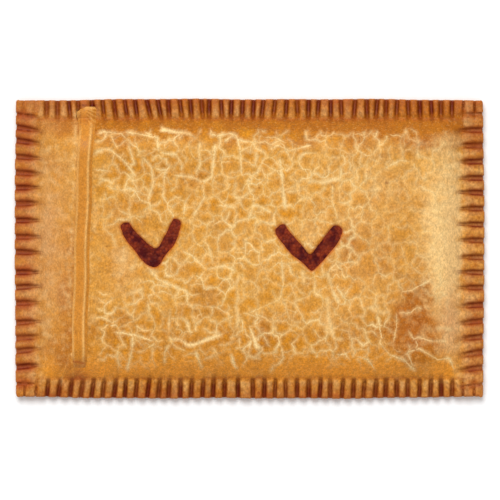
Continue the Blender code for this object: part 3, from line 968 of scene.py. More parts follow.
@dataclass
class CrackNetwork:
    """Cracks in the egg glaze: long ones, others round irregular plates, and side cracks across the plates."""

    pie: PieShape
    plate: float = 9.4 * MM
    plate_range: tuple[float, float] = (0.45, 1.35)
    keep: float = 0.9
    vivid: float = 0.7
    width: float = 0.5 * MM
    long_apart: float = 2.0 * MM
    branches: tuple[BranchOrder, ...] = (
        BranchOrder(clear=4.3 * MM, tries=2400, vivid=0.55, width=0.44 * MM, longest=9 * MM, stop=0.04),
        BranchOrder(clear=2.6 * MM, tries=1400, vivid=0.3, width=0.4 * MM, longest=4 * MM, stop=0.12),
    )
    seed: int = 12
    offers: int = 4000
    margin: tuple[float, float] = (8 * MM, 6 * MM)
    longest: float = 24 * MM
    knot_step: float = 3.2 * MM
    step: float = 0.66 * MM
    unsteady: float = 0.12 * MM
    touch: float = 0.55 * MM
    cell: float = 2.4 * MM
    steady: float = 0.72
    kick: float = 0.36
    slim_from: float = 40 * MM
    slim_to: float = 90 * MM
    slimmest: float = 0.66
    density: tuple[Spot, ...] = patches(
        (4, 8, 46, 62, 0.40), (-72, -8, 13, 19, -0.62), (-53, 9, 10, 7, -0.8), (31, 7, 10, 7, -0.7),
        (-23, -27, 8, 9, -0.85), (-79, 44, 8, 13, -0.2), (10, -60, 80, 7, -0.35), (92, 55, 20, 13, -0.45),
        (97, 5, 8, 40, -0.12), (88, -42, 12, 18, -1.0), (60, 0, 14, 14, -0.1),
    )
    fading: tuple[Spot, ...] = patches(
        (78, 18, 30, 46, 0.42), (87, -43, 14, 20, 0.6), (-50, -60, 34, 10, 0.3), (-72, -8, 14, 20, 0.4),
    )

    def __post_init__(self) -> None:
        """Draws the long cracks and grows those round the plates, then each generation of side cracks."""
        self.draw = np.random.default_rng(self.seed)
        self.taken: dict[tuple[int, int], list[tuple[float, float, int]]] = {}
        self.count = 0
        self.junctions = np.empty((0, 2))
        self.lines = [self.draw_long()]
        self.lines.append(self.grow_main(finder(self.lines[0][:, :2])))
        for order in self.branches:
            self.lines.append(self.grow_branches(order, np.vstack(self.lines)))
        self.trees = [finder(line[:, :2]) for line in self.lines]
        self.corner_tree = finder(self.junctions)

    def presence(self, x: Array, y: Array) -> Array:
        """How crackled the glaze is, from 0 to 1.

        Args:
            x: places along X.
            y: places along Y.

        Returns:
            The share at each place.
        """
        half_x, half_y = self.pie.half
        uneven = 3 * MM * (blobs(x, y, 14 * MM, 2.0) - 0.5)
        back = smooth((half_y - y - 15.5 * MM + uneven) / (4 * MM))
        front = smooth((half_y + y - 12 * MM + uneven) / (14 * MM))
        left = smooth((x + 83 * MM + uneven) / (7 * MM))
        right = smooth((half_x - x - 15 * MM + uneven) / (12 * MM))
        density = 0.66 + spotted(self.density, x, y) + 0.7 * (cloud(x, y, 19 * MM, 3.0) - 0.5)
        return clamped(density) * back * front * left * right

    def vividness(self, x: Array, y: Array) -> Array:
        """How clearly cracks show, from 0 to 1."""
        return np.clip(1 - spotted(self.fading, x, y) + 0.9 * (cloud(x, y, 15 * MM, 8.0) - 0.5), 0.15, 1.1)

    def slim(self, x: Array) -> Array:
        """How much slimmer the plates are across than along, at each place."""
        share = smooth((x - self.slim_from) / (self.slim_to - self.slim_from))
        return 1 - (1 - self.slimmest) * share

    def plate_centres(self) -> Array:
        """Draws the centres of the plates.

        Returns:
            Their places, in a plane where all plates are as long as wide.
        """
        reach = self.pie.half - np.array(self.margin)
        offered = self.draw.uniform(-reach, reach, (self.offers, 2))
        offered[:, 1] *= self.slim(offered[:, 0])
        low, high = self.plate_range
        spacings = self.plate * (low + (high - low) * self.draw.random(len(offered)))
        spacings *= 0.25 + 0.75 * self.slim(offered[:, 0])
        kept: list[tuple[float, float]] = []
        for (x, y), spacing in zip(offered.tolist(), spacings.tolist()):
            if all((x - u) ** 2 + (y - v) ** 2 > spacing * spacing for u, v in kept):
                kept.append((x, y))
        return np.array(kept)

    def draw_long(self) -> Array:
        """Long cracks, each a little unsteady on its course.

        Returns:
            A row for each point of a crack: x, y, normal x, normal y, strength, width, number.
        """
        rows, draw = [], np.random.default_rng(self.seed)
        for look, course in ((look, course) for look, courses in LONG_CRACKS.items() for course in courses):
            vivid, width = look.value
            knots = np.reshape(course, (-1, 2)) * MM
            run = np.concatenate([[0.0], np.cumsum(np.linalg.norm(np.diff(knots, axis=0), axis=1))])
            places = np.linspace(0.0, run[-1], round(run[-1] / self.step) + 1)
            path = np.column_stack([np.interp(places, run, knots[:, axis]) for axis in (0, 1)])
            path = path + draw.normal(0.0, self.unsteady, path.shape)
            rows.append(self.dress_path(path, (False, False), vivid, width * MM))
        return np.vstack(rows)

    def clarity(self, path: Array, luck: float) -> Array:
        """How clear a grown crack is along its path, for its own share of luck."""
        return (0.65 + 0.35 * luck) * self.vividness(*path.T) * smooth(2.2 * self.presence(*path.T))

    def grow_main(self, long_cracks: kdtree.KDTree) -> Array:
        """Cracks along the borders of the plates, apart from the long ones.

        Args:
            long_cracks: the points of those.

        Returns:
            A row for each point, as draw_long returns them.
        """
        centres = self.plate_centres()
        result = delaunay_2d_cdt([Vector(point) for point in (centres / MM).tolist()], [], [], 0, 1e-5, True)
        points = np.array([tuple(point) for point in result[0]]) * MM
        faces = np.array(result[2])
        middles = circumcentres(points[faces])
        middles[:, 1] /= self.slim(middles[:, 0])
        rows, corners = [], []
        for first, second in shared_edges(faces):
            luck = self.draw.random(4)
            path = self.kinked(middles[first], middles[second])
            if path is None:
                continue
            chance = float(self.presence(*path.T).mean())
            _, apart = nearest_in(long_cracks, path)
            if luck[0] > self.keep * min(1.0, 1.7 * chance) or apart.mean() < self.long_apart:
                continue
            vivid = self.vivid * self.clarity(path, float(luck[1]))
            rows.append(self.dress_path(path, (True, True), vivid, self.width))
            corners += [middles[first], middles[second]]
        self.junctions = np.array(corners)
        return np.vstack(rows)

    def kinked(self, start: Array, end: Array) -> Array | None:
        """Path of a main crack between two corners of plates, or None where there is none to draw.

        Args:
            start: the one corner.
            end: the other.

        Returns:
            The points of the path.
        """
        run = end - start
        length = float(np.linalg.norm(run))
        if length < self.step or length > self.longest or np.abs(start / self.pie.half).max() > 0.95:
            return None
        share = np.linspace(0.0, 1.0, max(3, round(length / self.step) + 1))
        knots = np.linspace(0.0, 1.0, 2 + max(1, round(length / self.knot_step)))
        shifts = self.draw.normal(0.0, 0.42 * MM + 0.045 * length, len(knots))
        shifts[[0, -1]] = 0.0
        fine = self.draw.normal(0.0, 0.09 * MM, len(share)) * np.sin(math.pi * share)
        normal = np.array([-run[1], run[0]]) / length
        return start + run * share[:, None] + normal * (np.interp(share, knots, shifts) + fine)[:, None]

    def grow_branches(self, order: BranchOrder, older: Array) -> Array:
        """Side cracks of one generation.

        Args:
            order: its sizes.
            older: the points of the cracks that they leave.

        Returns:
            A row for each point, as draw_long returns them.
        """
        picked = self.draw.integers(0, len(older), order.tries)
        sides = np.where(self.draw.random(order.tries) < 0.5, -1.0, 1.0)
        starts = older[picked]
        chances = self.presence(starts[:, 0], starts[:, 1])
        headings = np.arctan2(sides * starts[:, 3], sides * starts[:, 2]) + self.draw.normal(0, 0.22, order.tries)
        rows = []
        for start, chance, heading in zip(starts.tolist(), chances.tolist(), headings.tolist()):
            luck = self.draw.random(2)
            ahead = 0.62 * order.clear
            spot = (start[0] + ahead * math.cos(heading), start[1] + ahead * math.sin(heading))
            if start[4] < 0.1 or luck[0] > 1.3 * chance or self.blocked(*spot, 0.55 * order.clear, ()):
                continue
            path, met = self.run((start[0], start[1]), heading, order, int(start[6]))
            if len(path) > 3:
                vivid = order.vivid * self.clarity(path, float(luck[1]))
                rows.append(self.dress_path(path, (True, met), vivid, order.width))
        return np.vstack(rows)

    def blocked(self, x: float, y: float, reach: float, spared: Sequence[int]) -> bool:
        """Whether a crack lies within reach of a place, apart from those that are spared by number.

        Args:
            x: the place along X.
            y: the place along Y.
            reach: how far to look.
            spared: numbers of cracks that don't count.

        Returns:
            True where one does.
        """
        span = int(reach // self.cell) + 1
        column, row = int(x // self.cell), int(y // self.cell)
        for across in range(column - span, column + span + 1):
            for up in range(row - span, row + span + 1):
                for other_x, other_y, number in self.taken.get((across, up), ()):
                    if number not in spared and math.hypot(x - other_x, y - other_y) < reach:
                        return True
        return False

    def run(
        self, start: tuple[float, float], heading: float, order: BranchOrder, parent: int
    ) -> tuple[Array, bool]:
        """Course of a side crack.

        Args:
            start: its place on the older crack.
            heading: the way it sets out, as an angle.
            order: sizes of its generation.
            parent: number of the older crack.

        Returns:
            Its points, and whether it met another crack at its end.
        """
        x, y = start
        points = [start]
        swing = 0.0
        for _ in range(int(order.longest / self.step)):
            swing = self.steady * swing + float(self.draw.normal(0.0, self.kick))
            x += self.step * math.cos(heading + swing)
            y += self.step * math.sin(heading + swing)
            points.append((x, y))
            if self.blocked(x, y, self.touch, (parent,)):
                return np.array(points), True
            if self.draw.random() < order.stop:
                break
        return np.array(points), False

    def dress_path(self, path: Array, met: tuple[bool, bool], vivid: Array | float, width: float) -> Array:
        """Gives a crack its normals, strength, width and number, and notes where it runs.

        Args:
            path: its points.
            met: whether its first and its last end meet another crack.
            vivid: its strength.
            width: half its width.

        Returns:
            A row for each point, as draw_long returns them.
        """
        for x, y in path.tolist():
            self.taken.setdefault((int(x // self.cell), int(y // self.cell)), []).append((x, y, self.count))
        along = np.gradient(path, axis=0)
        along /= np.linalg.norm(along, axis=1)[:, None] + 1e-12
        steps = np.arange(len(path))
        strength = vivid * (0.3 + 1.4 * cloud(path[:, 0], path[:, 1], 10 * MM, 7.0))
        strength = strength * (0.72 + 0.6 * blobs(path[:, 0], path[:, 1], 2.4 * MM, 9.0))
        for joined, away in zip(met, (steps, steps[::-1])):
            if not joined:
                strength = strength * smooth((away + 1.5) / 5.0)
        widths = width * (0.65 + 0.8 * blobs(path[:, 0], path[:, 1], 3 * MM, 6.0))
        number = np.full(len(path), float(self.count))
        self.count += 1
        return np.column_stack([path, -along[:, 1], along[:, 0], strength, widths, number])

    def mesh_points(self, flank: float) -> list[Array]:
        """Plan points for the mesh: first down the middle of the cracks, then on their flanks."""
        rows = np.vstack([line[line[:, 4] > 0.08] for line in self.lines])
        return [rows[:, :2], *(rows[:, :2] + side * flank * rows[:, 2:4] for side in (-1, 1))]

    def near(self, plan: Array) -> tuple[Array, Array, Array]:
        """What the cracks do at each place.

        Args:
            plan: points in plan.

        Returns:
            The strength of the line itself, of the pale haze beside it, and the distance from it.
        """
        core, haze = np.zeros(len(plan)), np.zeros(len(plan))
        clear = np.full(len(plan), 1.0)
        for line, tree in zip(self.lines, self.trees):
            index, away = nearest_in(tree, plan)
            strength, width = line[index, 4], line[index, 5]
            core = np.maximum(core, strength * bell(away / width))
            haze = np.maximum(haze, strength * np.exp(-away / (2.4 * width)))
            clear = np.minimum(clear, away + 1.2 * MM * (1 - clamped(strength / 0.6)))
        index, away = nearest_in(self.corner_tree, plan)
        blotch = hashed(index, 4.0) ** 1.5 * bell(away / (1.5 * MM))
        patchy = smooth((cloud(plan[:, 0], plan[:, 1], 5 * MM, 31.0) - 0.34) / 0.34)
        pale = haze * (0.04 + 0.24 * patchy) + 0.3 * blotch * self.presence(*plan.T) * self.vividness(*plan.T)
        return clamped(core), clamped(pale), clear


def finder(points: Array) -> kdtree.KDTree:
    """A tree for finding the nearest of some plan points.

    Args:
        points: the points in plan.

    Returns:
        The balanced tree.
    """
    made = kdtree.KDTree(len(points))
    for index, (x, y) in enumerate(points.tolist()):
        made.insert((x, y, 0.0), index)
    made.balance()
    return made


def nearest_in(tree: kdtree.KDTree, plan: Array) -> tuple[Array, Array]:
    """Number and distance of a tree's nearest point to each place."""
    _, index, away = zip(*(tree.find((x, y, 0.0)) for x, y in plan.tolist()))
    return np.array(index), np.array(away)


def circumcentres(corners: Array) -> Array:
    """Centre of the circle through the corners of each triangle.

    Args:
        corners: three plan points for each triangle.

    Returns:
        The centres.
    """
    a, b, c = corners[:, 0], corners[:, 1], corners[:, 2]
    ab, ac = b - a, c - a
    cross = 2 * (ab[:, 0] * ac[:, 1] - ab[:, 1] * ac[:, 0])
    square_b, square_c = (ab**2).sum(axis=1), (ac**2).sum(axis=1)
    x = (ac[:, 1] * square_b - ab[:, 1] * square_c) / cross
    y = (ab[:, 0] * square_c - ac[:, 0] * square_b) / cross
    return a + np.column_stack([x, y])


def shared_edges(faces: Array) -> list[tuple[int, int]]:
    """Pairs of triangles that share an edge, in a fixed order.

    Args:
        faces: the three corners of each triangle, by number.

    Returns:
        The numbers of both triangles, for each pair.
    """
    sides: dict[tuple[int, int], int] = {}
    pairs = []
    for number, corners in enumerate(faces.tolist()):
        for start, end in zip(corners, corners[1:] + corners[:1]):
            key = (min(start, end), max(start, end))
            if key in sides:
                pairs.append((sides[key], number))
            else:
                sides[key] = number
    return pairs


# -------- shaders


class Nodes:
    """A short way to write a shader's nodes."""

    def __init__(self, tree: NodeTree) -> None:
        """Works on one node tree."""
        self.tree = tree

    def make(self, kind: str, **settings: object) -> Node:
        """Adds a node.

        Args:
            kind: its type's name.
            **settings: its properties.

        Returns:
            The node.
        """
        node = self.tree.nodes.new(kind)
        for name, value in settings.items():
            setattr(node, name, value)
        return node

    def put(self, socket: NodeSocket, value: object) -> None:
        """Links a socket to an output, or sets its value.

        Args:
            socket: an input.
            value: an output, or a value.
        """
        if isinstance(value, NodeSocket):
            self.tree.links.new(value, socket)
        elif isinstance(value, tuple) and len(value) == 3 and socket.type == "RGBA":
            socket.default_value = (*value, 1.0)
        else:
            socket.default_value = value

    def field(self, name: str) -> NodeSocket:
        """The value that the mesh carries under this name."""
        return self.make("ShaderNodeAttribute", attribute_name=name).outputs["Fac"]

    def math(self, operation: str, first: object, second: object = 0.0, clamp: bool = False) -> NodeSocket:
        """One sum of two numbers.

        Args:
            operation: the kind of sum.
            first: the first number.
            second: the second.
            clamp: whether to hold the result between 0 and 1.

        Returns:
            The result.
        """
        node = self.make("ShaderNodeMath", operation=operation, use_clamp=clamp)
        self.put(node.inputs[0], first)
        self.put(node.inputs[1], second)
        return node.outputs[0]

    def blend(self, share: object, first: object, second: object) -> NodeSocket:
        """A mix of two colours.

        Args:
            share: how much of the second colour.
            first: the first colour.
            second: the second.

        Returns:
            The mixed colour.
        """
        node = self.make("ShaderNodeMix", data_type="RGBA")
        self.put(node.inputs["Factor"], share)
        self.put(node.inputs[6], first)
        self.put(node.inputs[7], second)
        return node.outputs[2]

    def span(self, value: object, low: float, high: float, to_low: float, to_high: float) -> NodeSocket:
        """A value carried from one range to another, and held inside it.

        Args:
            value: the value.
            low: start of its range.
            high: end of its range.
            to_low: what the start turns into.
            to_high: what the end turns into.

        Returns:
            The new value.
        """
        node = self.make("ShaderNodeMapRange", interpolation_type="SMOOTHSTEP")
        for socket, number in zip(node.inputs, (value, low, high, to_low, to_high)):
            self.put(socket, number)
        return node.outputs["Result"]

    def place(self, scale: tuple[float, float, float]) -> NodeSocket:
        """The place on the object, in metres.

        Args:
            scale: stretch along each axis.

        Returns:
            The vector output.
        """
        where = self.make("ShaderNodeTexCoord").outputs["Object"]
        node = self.make("ShaderNodeMapping")
        self.put(node.inputs["Vector"], where)
        self.put(node.inputs["Scale"], scale)
        return node.outputs["Vector"]

    def noise(self, where: object, scale: object, detail: float = 3.0) -> NodeSocket:
        """Noise from 0 to 1.

        Args:
            where: the place.
            scale: how fine it is.
            detail: how many finer sizes are added.

        Returns:
            The noise.
        """
        node = self.make("ShaderNodeTexNoise")
        self.put(node.inputs["Vector"], where)
        self.put(node.inputs["Scale"], scale)
        self.put(node.inputs["Detail"], detail)
        return node.outputs["Fac"]

    def group(self, tree: NodeTree, **inputs: object) -> Node:
        """Adds a node group.

        Args:
            tree: the group.
            **inputs: values or outputs for its inputs, their names' spaces as underscores.

        Returns:
            The group's node.
        """
        node = self.make("ShaderNodeGroup", node_tree=tree)
        for name, value in inputs.items():
            self.put(node.inputs[name.replace("_", " ")], value)
        return node


def new_group(
    name: str, inputs: Sequence[str], outputs: Sequence[str]
) -> tuple[Nodes, Mapping[str, NodeSocket], Mapping[str, NodeSocket]]:
    """An empty shader group.

    Args:
        name: its name.
        inputs: names of its inputs, which are all set wherever the group is used.
        outputs: names of its outputs.

    Returns:
        A writer for its nodes, what the group is given, and the sockets for its results.
    """
    tree = bpy.data.node_groups.new(name, "ShaderNodeTree")
    for way, labels in (("INPUT", inputs), ("OUTPUT", outputs)):
        for label in labels:
            kind = "NodeSocketColor" if label == "Colour" else "NodeSocketFloat"
            tree.interface.new_socket(label, in_out=way, socket_type=kind)
    nodes = Nodes(tree)
    return nodes, nodes.make("NodeGroupInput").outputs, nodes.make("NodeGroupOutput").inputs


class SharedEffects:
    """Effects that more than one material uses, each built once as a node group."""

    @cached_property
    def grain(self) -> NodeTree:
        """Fine uneven grain of baked dough or mince, as a tone round 0.5, a height and a mask of pale crumbs."""
        nodes, given, result = new_group("Baked grain", ("Scale", "Clumps"), ("Tone", "Height", "Crumbs"))
        drawn_out = nodes.place((1.0, 0.62, 1.0))
        fine = nodes.noise(drawn_out, given["Scale"], 1.0)
        clumps = nodes.noise(drawn_out, nodes.math("MULTIPLY", given["Scale"], 0.3), 2.0)
        share = nodes.math("MULTIPLY", clumps, given["Clumps"])
        rest = nodes.math("SUBTRACT", 1.0, given["Clumps"])
        both = nodes.math("ADD", share, nodes.math("MULTIPLY", fine, rest))
        crumbs = nodes.noise(nodes.place((1.0, 1.0, 1.0)), nodes.math("MULTIPLY", given["Scale"], 0.8), 0.0)
        nodes.put(result["Tone"], nodes.span(both, 0.28, 0.72, 0.0, 1.0))
        nodes.put(result["Height"], both)
        nodes.put(result["Crumbs"], nodes.span(crumbs, 0.62, 0.76, 0.0, 1.0))
        return nodes.tree

    @cached_property
    def toning(self) -> NodeTree:
        """Makes a colour lighter or darker by a tone that is 0.5 where nothing changes."""
        nodes, given, result = new_group("Toning", ("Colour", "Tone", "Amount"), ("Colour",))
        swing = nodes.math("MULTIPLY", nodes.math("SUBTRACT", given["Tone"], 0.5), 2.0)
        gain = nodes.math("ADD", 1.0, nodes.math("MULTIPLY", swing, given["Amount"]))
        scaled = nodes.make("ShaderNodeVectorMath", operation="SCALE")
        nodes.put(scaled.inputs[0], given["Colour"])
        nodes.put(scaled.inputs["Scale"], gain)
        nodes.put(result["Colour"], scaled.outputs[0])
        return nodes.tree

    @cached_property
    def freckles(self) -> NodeTree:
        """Small scattered marks, as a mask."""
        nodes, given, result = new_group("Freckles", ("Scale", "Size", "Share"), ("Mask",))
        where = nodes.place((1.0, 1.0, 1.0))
        cells = nodes.make("ShaderNodeTexVoronoi")
        nodes.put(cells.inputs["Vector"], where)
        nodes.put(cells.inputs["Scale"], given["Scale"])
        reach = nodes.math("MULTIPLY", given["Size"], nodes.math("ADD", 0.5, nodes.noise(where, 1500.0, 2.0)))
        near = nodes.math("SUBTRACT", 1.0, nodes.math("DIVIDE", cells.outputs["Distance"], reach), clamp=True)
        chosen = nodes.make("ShaderNodeSeparateColor")
        nodes.put(chosen.inputs[0], cells.outputs["Color"])
        picked = nodes.math("LESS_THAN", chosen.outputs[0], given["Share"])
        nodes.put(result["Mask"], nodes.span(nodes.math("MULTIPLY", near, picked), 0.0, 0.6, 0.0, 1.0))
        return nodes.tree


def new_material(name: str) -> tuple[Material, Nodes, Node]:
    """A material with a Principled shader.

    Args:
        name: its name.

    Returns:
        The material, a writer for its nodes and the shader.
    """
    made = bpy.data.materials.new(name)
    made.use_nodes = True
    return made, Nodes(made.node_tree), made.node_tree.nodes["Principled BSDF"]


@dataclass(frozen=True)
class Finish:
    """A finish of baked or minced food: a ground colour, one over it for each field, fine grain and a gloss."""

    ground: Colour
    roughness: tuple[float, float] = (0.4, 0.6)
    grain_scale: float = 1500.0
    grain_amount: float = 0.2
    clumps: float = 0.35
    relief: float = 0.05 * MM
    gloss: float = 0.1

    TITLE: ClassVar[str]
    FIELDS: ClassVar[tuple[str, ...]]

    def painted(self, nodes: Nodes, colour: object, names: Iterable[str]) -> object:
        """Lays the colours of some fields over a colour.

        Args:
            nodes: the material's nodes.
            colour: the colour below.
            names: the fields, each of which has a colour here under its name.

        Returns:
            The mixed colour.
        """
        for name in names:
            colour = nodes.blend(nodes.field(name), colour, getattr(self, name))
        return colour

    def colouring(self, nodes: Nodes, effects: SharedEffects, grain: Node) -> object:
        """The colour without its grain."""
        return self.painted(nodes, self.ground, self.FIELDS)

    def dullness(self, nodes: Nodes, grain: Node) -> object:
        """The roughness."""
        return nodes.span(grain.outputs["Tone"], 0.0, 1.0, *self.roughness)

    def material(self, effects: SharedEffects) -> Material:
        """Builds the material.

        Args:
            effects: the shared node groups.

        Returns:
            The material, which reads the fields of its piece.
        """
        made, nodes, shader = new_material(self.TITLE)
        grain = nodes.group(effects.grain, Scale=self.grain_scale, Clumps=self.clumps)
        colour = self.colouring(nodes, effects, grain)
        toned = nodes.group(effects.toning, Colour=colour, Tone=grain.outputs["Tone"], Amount=self.grain_amount)
        nodes.put(shader.inputs["Base Color"], toned.outputs["Colour"])
        nodes.put(shader.inputs["Roughness"], self.dullness(nodes, grain))
        bump = nodes.make("ShaderNodeBump")
        bump.inputs["Strength"].default_value = 0.5
        bump.inputs["Distance"].default_value = self.relief
        nodes.put(bump.inputs["Height"], grain.outputs["Height"])
        nodes.put(shader.inputs["Normal"], bump.outputs["Normal"])
        shader.inputs["Specular IOR Level"].default_value = self.gloss
        return made


@dataclass(frozen=True)
class CrustFinish(Finish):
    """Egg-glazed pastry: golden plates, pale cracks, and glaze baked dark in the grooves, with painted shade in and
    beside the grooves, painted highlights on the ridges and painted light on the front slope.
    """

    ground: Colour = seen(223, 160, 72)
    brown: Colour = seen(174, 100, 30)
    pale: Colour = seen(251, 206, 136)
    rose: Colour = seen(221, 159, 102)
    plate: Colour = seen(214, 138, 33)
    # The front slope's orange, painted brighter to make up for the shade the key light leaves on it.
    amber_painted_light: Colour = seen(246, 156, 50)
    haze: Colour = seen(239, 187, 84)
    crack: Colour = seen(252, 216, 152)
    # Baked red-brown, also painted as shade beside the grooves and as a shadow round the ridges' ends.
    toast_and_shade: Colour = seen(182, 92, 42)
    # Dark glaze of the grooves, also used for painted shade there, along the strip's left foot and behind its folded
    # end.
    groove: Colour = seen(120, 42, 16)
    cut: Colour = seen(194, 100, 38)
    speck: Colour = seen(150, 84, 30)
    roughness: tuple[float, float] = (0.5, 0.65)
    polish: float = 0.04
    grain_amount: float = 0.19
    speckle_scale: float = 640.0
    relief: float = 0.04 * MM
    gloss: float = 0.13

    TITLE = "Glazed crust"
    GLAZE_AND_LIGHT = ("brown", "pale", "rose", "plate", "amber_painted_light")
    CRACKS = ("haze", "crack")
    BAKED_AND_SHADED = ("toast_and_shade", "groove", "cut")
    FIELDS = (*GLAZE_AND_LIGHT, *CRACKS, *BAKED_AND_SHADED, "speckle")

    def colouring(self, nodes: Nodes, effects: SharedEffects, grain: Node) -> object:
        """The colour: the glaze with its speckles and painted light, the cracks in it, freckles and crumbs, and what
        has baked dark or is painted shade.

        Args:
            nodes: the material's nodes.
            effects: the shared node groups.
            grain: the grain.

        Returns:
            The colour without its grain.
        """
        uneven = nodes.noise(nodes.place((1.0, 0.8, 1.0)), self.speckle_scale, 1.0)
        tone, amount = nodes.span(uneven, 0.3, 0.7, 0.0, 1.0), nodes.field("speckle")
        # The glaze's colours, with the painted light and highlights among them.
        glaze = self.painted(nodes, self.ground, self.GLAZE_AND_LIGHT)
        glaze = nodes.group(effects.toning, Colour=glaze, Tone=tone, Amount=amount).outputs["Colour"]
        colour = self.painted(nodes, glaze, self.CRACKS)
        freckles = nodes.group(effects.freckles, Scale=210.0, Size=0.17, Share=0.12)
        colour = nodes.blend(nodes.math("MULTIPLY", freckles.outputs["Mask"], 0.45), colour, self.speck)
        colour = nodes.blend(nodes.math("MULTIPLY", grain.outputs["Crumbs"], 0.16), colour, self.pale)
        return self.painted(nodes, colour, self.BAKED_AND_SHADED)

    def dullness(self, nodes: Nodes, grain: Node) -> object:
        """Sets the roughness: cracks and cuts are dry, and the glaze in the grooves is shiny.

        Args:
            nodes: the material's nodes.
            grain: the grain group's node, which is not used here.

        Returns:
            The roughness, as an output or a number.
        """
        dryness = nodes.math("MAXIMUM", nodes.field("crack"), nodes.field("cut"))
        shine = nodes.math("MULTIPLY", nodes.field("groove"), self.polish)
        return nodes.math("SUBTRACT", nodes.span(dryness, 0.0, 1.0, *self.roughness), shine)


@dataclass(frozen=True)
class StripFinish(Finish):
    """Glazed dough of the strip: orange in the middle, paler on both raised borders, with painted shade in the folded
    end's valley and creases and painted highlights on the creases' crests.
    """

    ground: Colour = seen(212, 136, 46)
    border: Colour = seen(238, 180, 102)
    # Painted shade in the folded end's valley and the creases' troughs, and on its back face.
    dark: Colour = seen(140, 74, 26)
    fold: Colour = seen(184, 98, 34)
    speck: Colour = seen(150, 86, 34)
    roughness: tuple[float, float] = (0.38, 0.52)
    grain_scale: float = 1700.0
    grain_amount: float = 0.22
    clumps: float = 0.4
    relief: float = 0.10 * MM
    gloss: float = 0.22

    TITLE = "Glazed dough strip"
    FIELDS = ("border", "dark", "fold")

    def colouring(self, nodes: Nodes, effects: SharedEffects, grain: Node) -> object:
        """The colour: the fields' colours, with freckles and crumbs over them.

        Args:
            nodes: the material's nodes.
            effects: the shared node groups.
            grain: the grain.

        Returns:
            The colour without its grain.
        """
        colour = self.painted(nodes, self.ground, self.FIELDS)
        freckles = nodes.group(effects.freckles, Scale=260.0, Size=0.16, Share=0.2)
        colour = nodes.blend(nodes.math("MULTIPLY", freckles.outputs["Mask"], 0.4), colour, self.speck)
        return nodes.blend(nodes.math("MULTIPLY", grain.outputs["Crumbs"], 0.16), colour, self.border)


@dataclass(frozen=True)
class FillingFinish(Finish):
    """Minced beef in its sauce: crumbs of meat with dark gaps, wet on top."""

    ground: Colour = seen(138, 55, 32)
    gap: Colour = seen(90, 28, 20)
    lean: Colour = seen(82, 28, 28)
    fat: Colour = seen(152, 64, 38)
    roughness: tuple[float, float] = (0.42, 0.62)
    grain_amount: float = 0.25
    clumps: float = 0.5
    relief: float = 0.06 * MM

    TITLE = "Minced beef"
    FIELDS = ("lean", "fat", "gap")


@dataclass(frozen=True)
class FloorFinish:
    """The plain white floor of the studio."""

    white: Colour = (0.95, 0.95, 0.95)
    roughness: float = 0.9

    def material(self) -> Material:
        """Builds the material.

        Returns:
            The material, which is plain and dull.
        """
        made, _, shader = new_material("White floor")
        shader.inputs["Base Color"].default_value = (*self.white, 1.0)
        shader.inputs["Roughness"].default_value = self.roughness
        shader.inputs["Specular IOR Level"].default_value = 0.0
        return made


# -------- pieces


class Piece:
    """A visible piece: its name, the node it stands for, its finish and how it becomes an object."""

    NAME: ClassVar[str]
    NODE: ClassVar[str]
    CREASE: ClassVar[float] = math.radians(60)
    finish: Finish

    def dress(self, shell: Shell, effects: SharedEffects) -> Object:
        """Makes the object and gives it its finish."""
        return shell.piece(self.NAME, self.finish.material(effects), self.CREASE)


# -------- hollow


@dataclass(frozen=True)
class Hollow:
    """The hollow of the case. The crust and the filling share its plan, so that they fit."""

    pie: PieShape
    grid: float = 8 * MM
    corner_steps: int = 5
    vent_step: float = 0.75 * MM
    draft: float = 0.45 * MM
    flare: float = -0.12 * MM
    ragged: float = 0.25 * MM

    @cached_property
    def vent_loops(self) -> list[Array]:
        """Outline of each vent where it opens into the hollow."""
        return [vent.loop(self.vent_step, -self.draft, self.ragged) for vent in VENTS]

    @cached_property
    def sheet(self) -> Sheet:
        """Plan of the hollow's roof, with a hole for each vent."""
        pie = self.pie
        half = pie.half - np.array([pie.end_band, pie.side_band]) - pie.cavity_margin - pie.cavity_corner
        corners = []
        for quarter, signs in enumerate(((1, 1), (-1, 1), (-1, -1), (1, -1))):
            for step in range(self.corner_steps + 1):
                angle = math.pi / 2 * (quarter + step / self.corner_steps)
                turn = np.array([math.cos(angle), math.sin(angle)])
                corners.append(np.array(signs) * half + pie.cavity_corner * turn)
        outer = []
        for start, end in zip(corners, corners[1:] + corners[:1]):
            count = max(1, math.ceil(np.linalg.norm(end - start) / self.grid))
            outer += [start + (end - start) * step / count for step in range(count)]
        outline = np.array(outer)
        points = staggered(pie.half, self.grid)
        points = points[inside(draw_in(outline, self.grid / 3), points)]
        points = points[vent_distance(*points.T) > 1.2 * MM]
        return Sheet(outline, self.vent_loops, points.tolist())


# -------- crust


@dataclass(frozen=True)
class Welt:
    """A thin raised line of dough beside or beyond the strip, given by its two ends."""

    start: tuple[float, float]
    end: tuple[float, float]
    width: float = 0.42 * MM
    rise: float = 0.35 * MM

    def share(self, x: Array, y: Array) -> Array:
        """Share of the full rise at each place.

        Args:
            x: places along X.
            y: places along Y.

        Returns:
            The share.
        """
        run_x, run_y = self.end[0] - self.start[0], self.end[1] - self.start[1]
        share = ((x - self.start[0]) * run_x + (y - self.start[1]) * run_y) / (run_x**2 + run_y**2)
        held = clamped(share)
        away = np.hypot(x - self.start[0] - held * run_x, y - self.start[1] - held * run_y)
        return bell(away / self.width) * (0.55 + 0.45 * smooth(4 * held * (1 - held)))

    def mesh_points(self) -> Array:
        """Points for the mesh to follow.

        Returns:
            Plan points along the welt's crest and both its feet.
        """
        start, run = np.array(self.start), np.array(self.end) - np.array(self.start)
        length = float(np.linalg.norm(run))
        side = 1.1 * self.width * np.array([-run[1], run[0]]) / length
        crest = start + run * np.linspace(0.0, 1.0, round(length / (0.5 * MM)) + 1)[:, None]
        return np.vstack([crest, crest - side, crest + side])


def raised_lines(*rows: tuple[float, ...]) -> tuple[Welt, ...]:
    """Welts from both their ends and, where they differ, their width and rise, all in millimetres."""
    sizes = ([size * MM for size in row] for row in rows)
    return tuple(Welt((start_x, start_y), (end_x, end_y), *rest) for start_x, start_y, end_x, end_y, *rest in sizes)


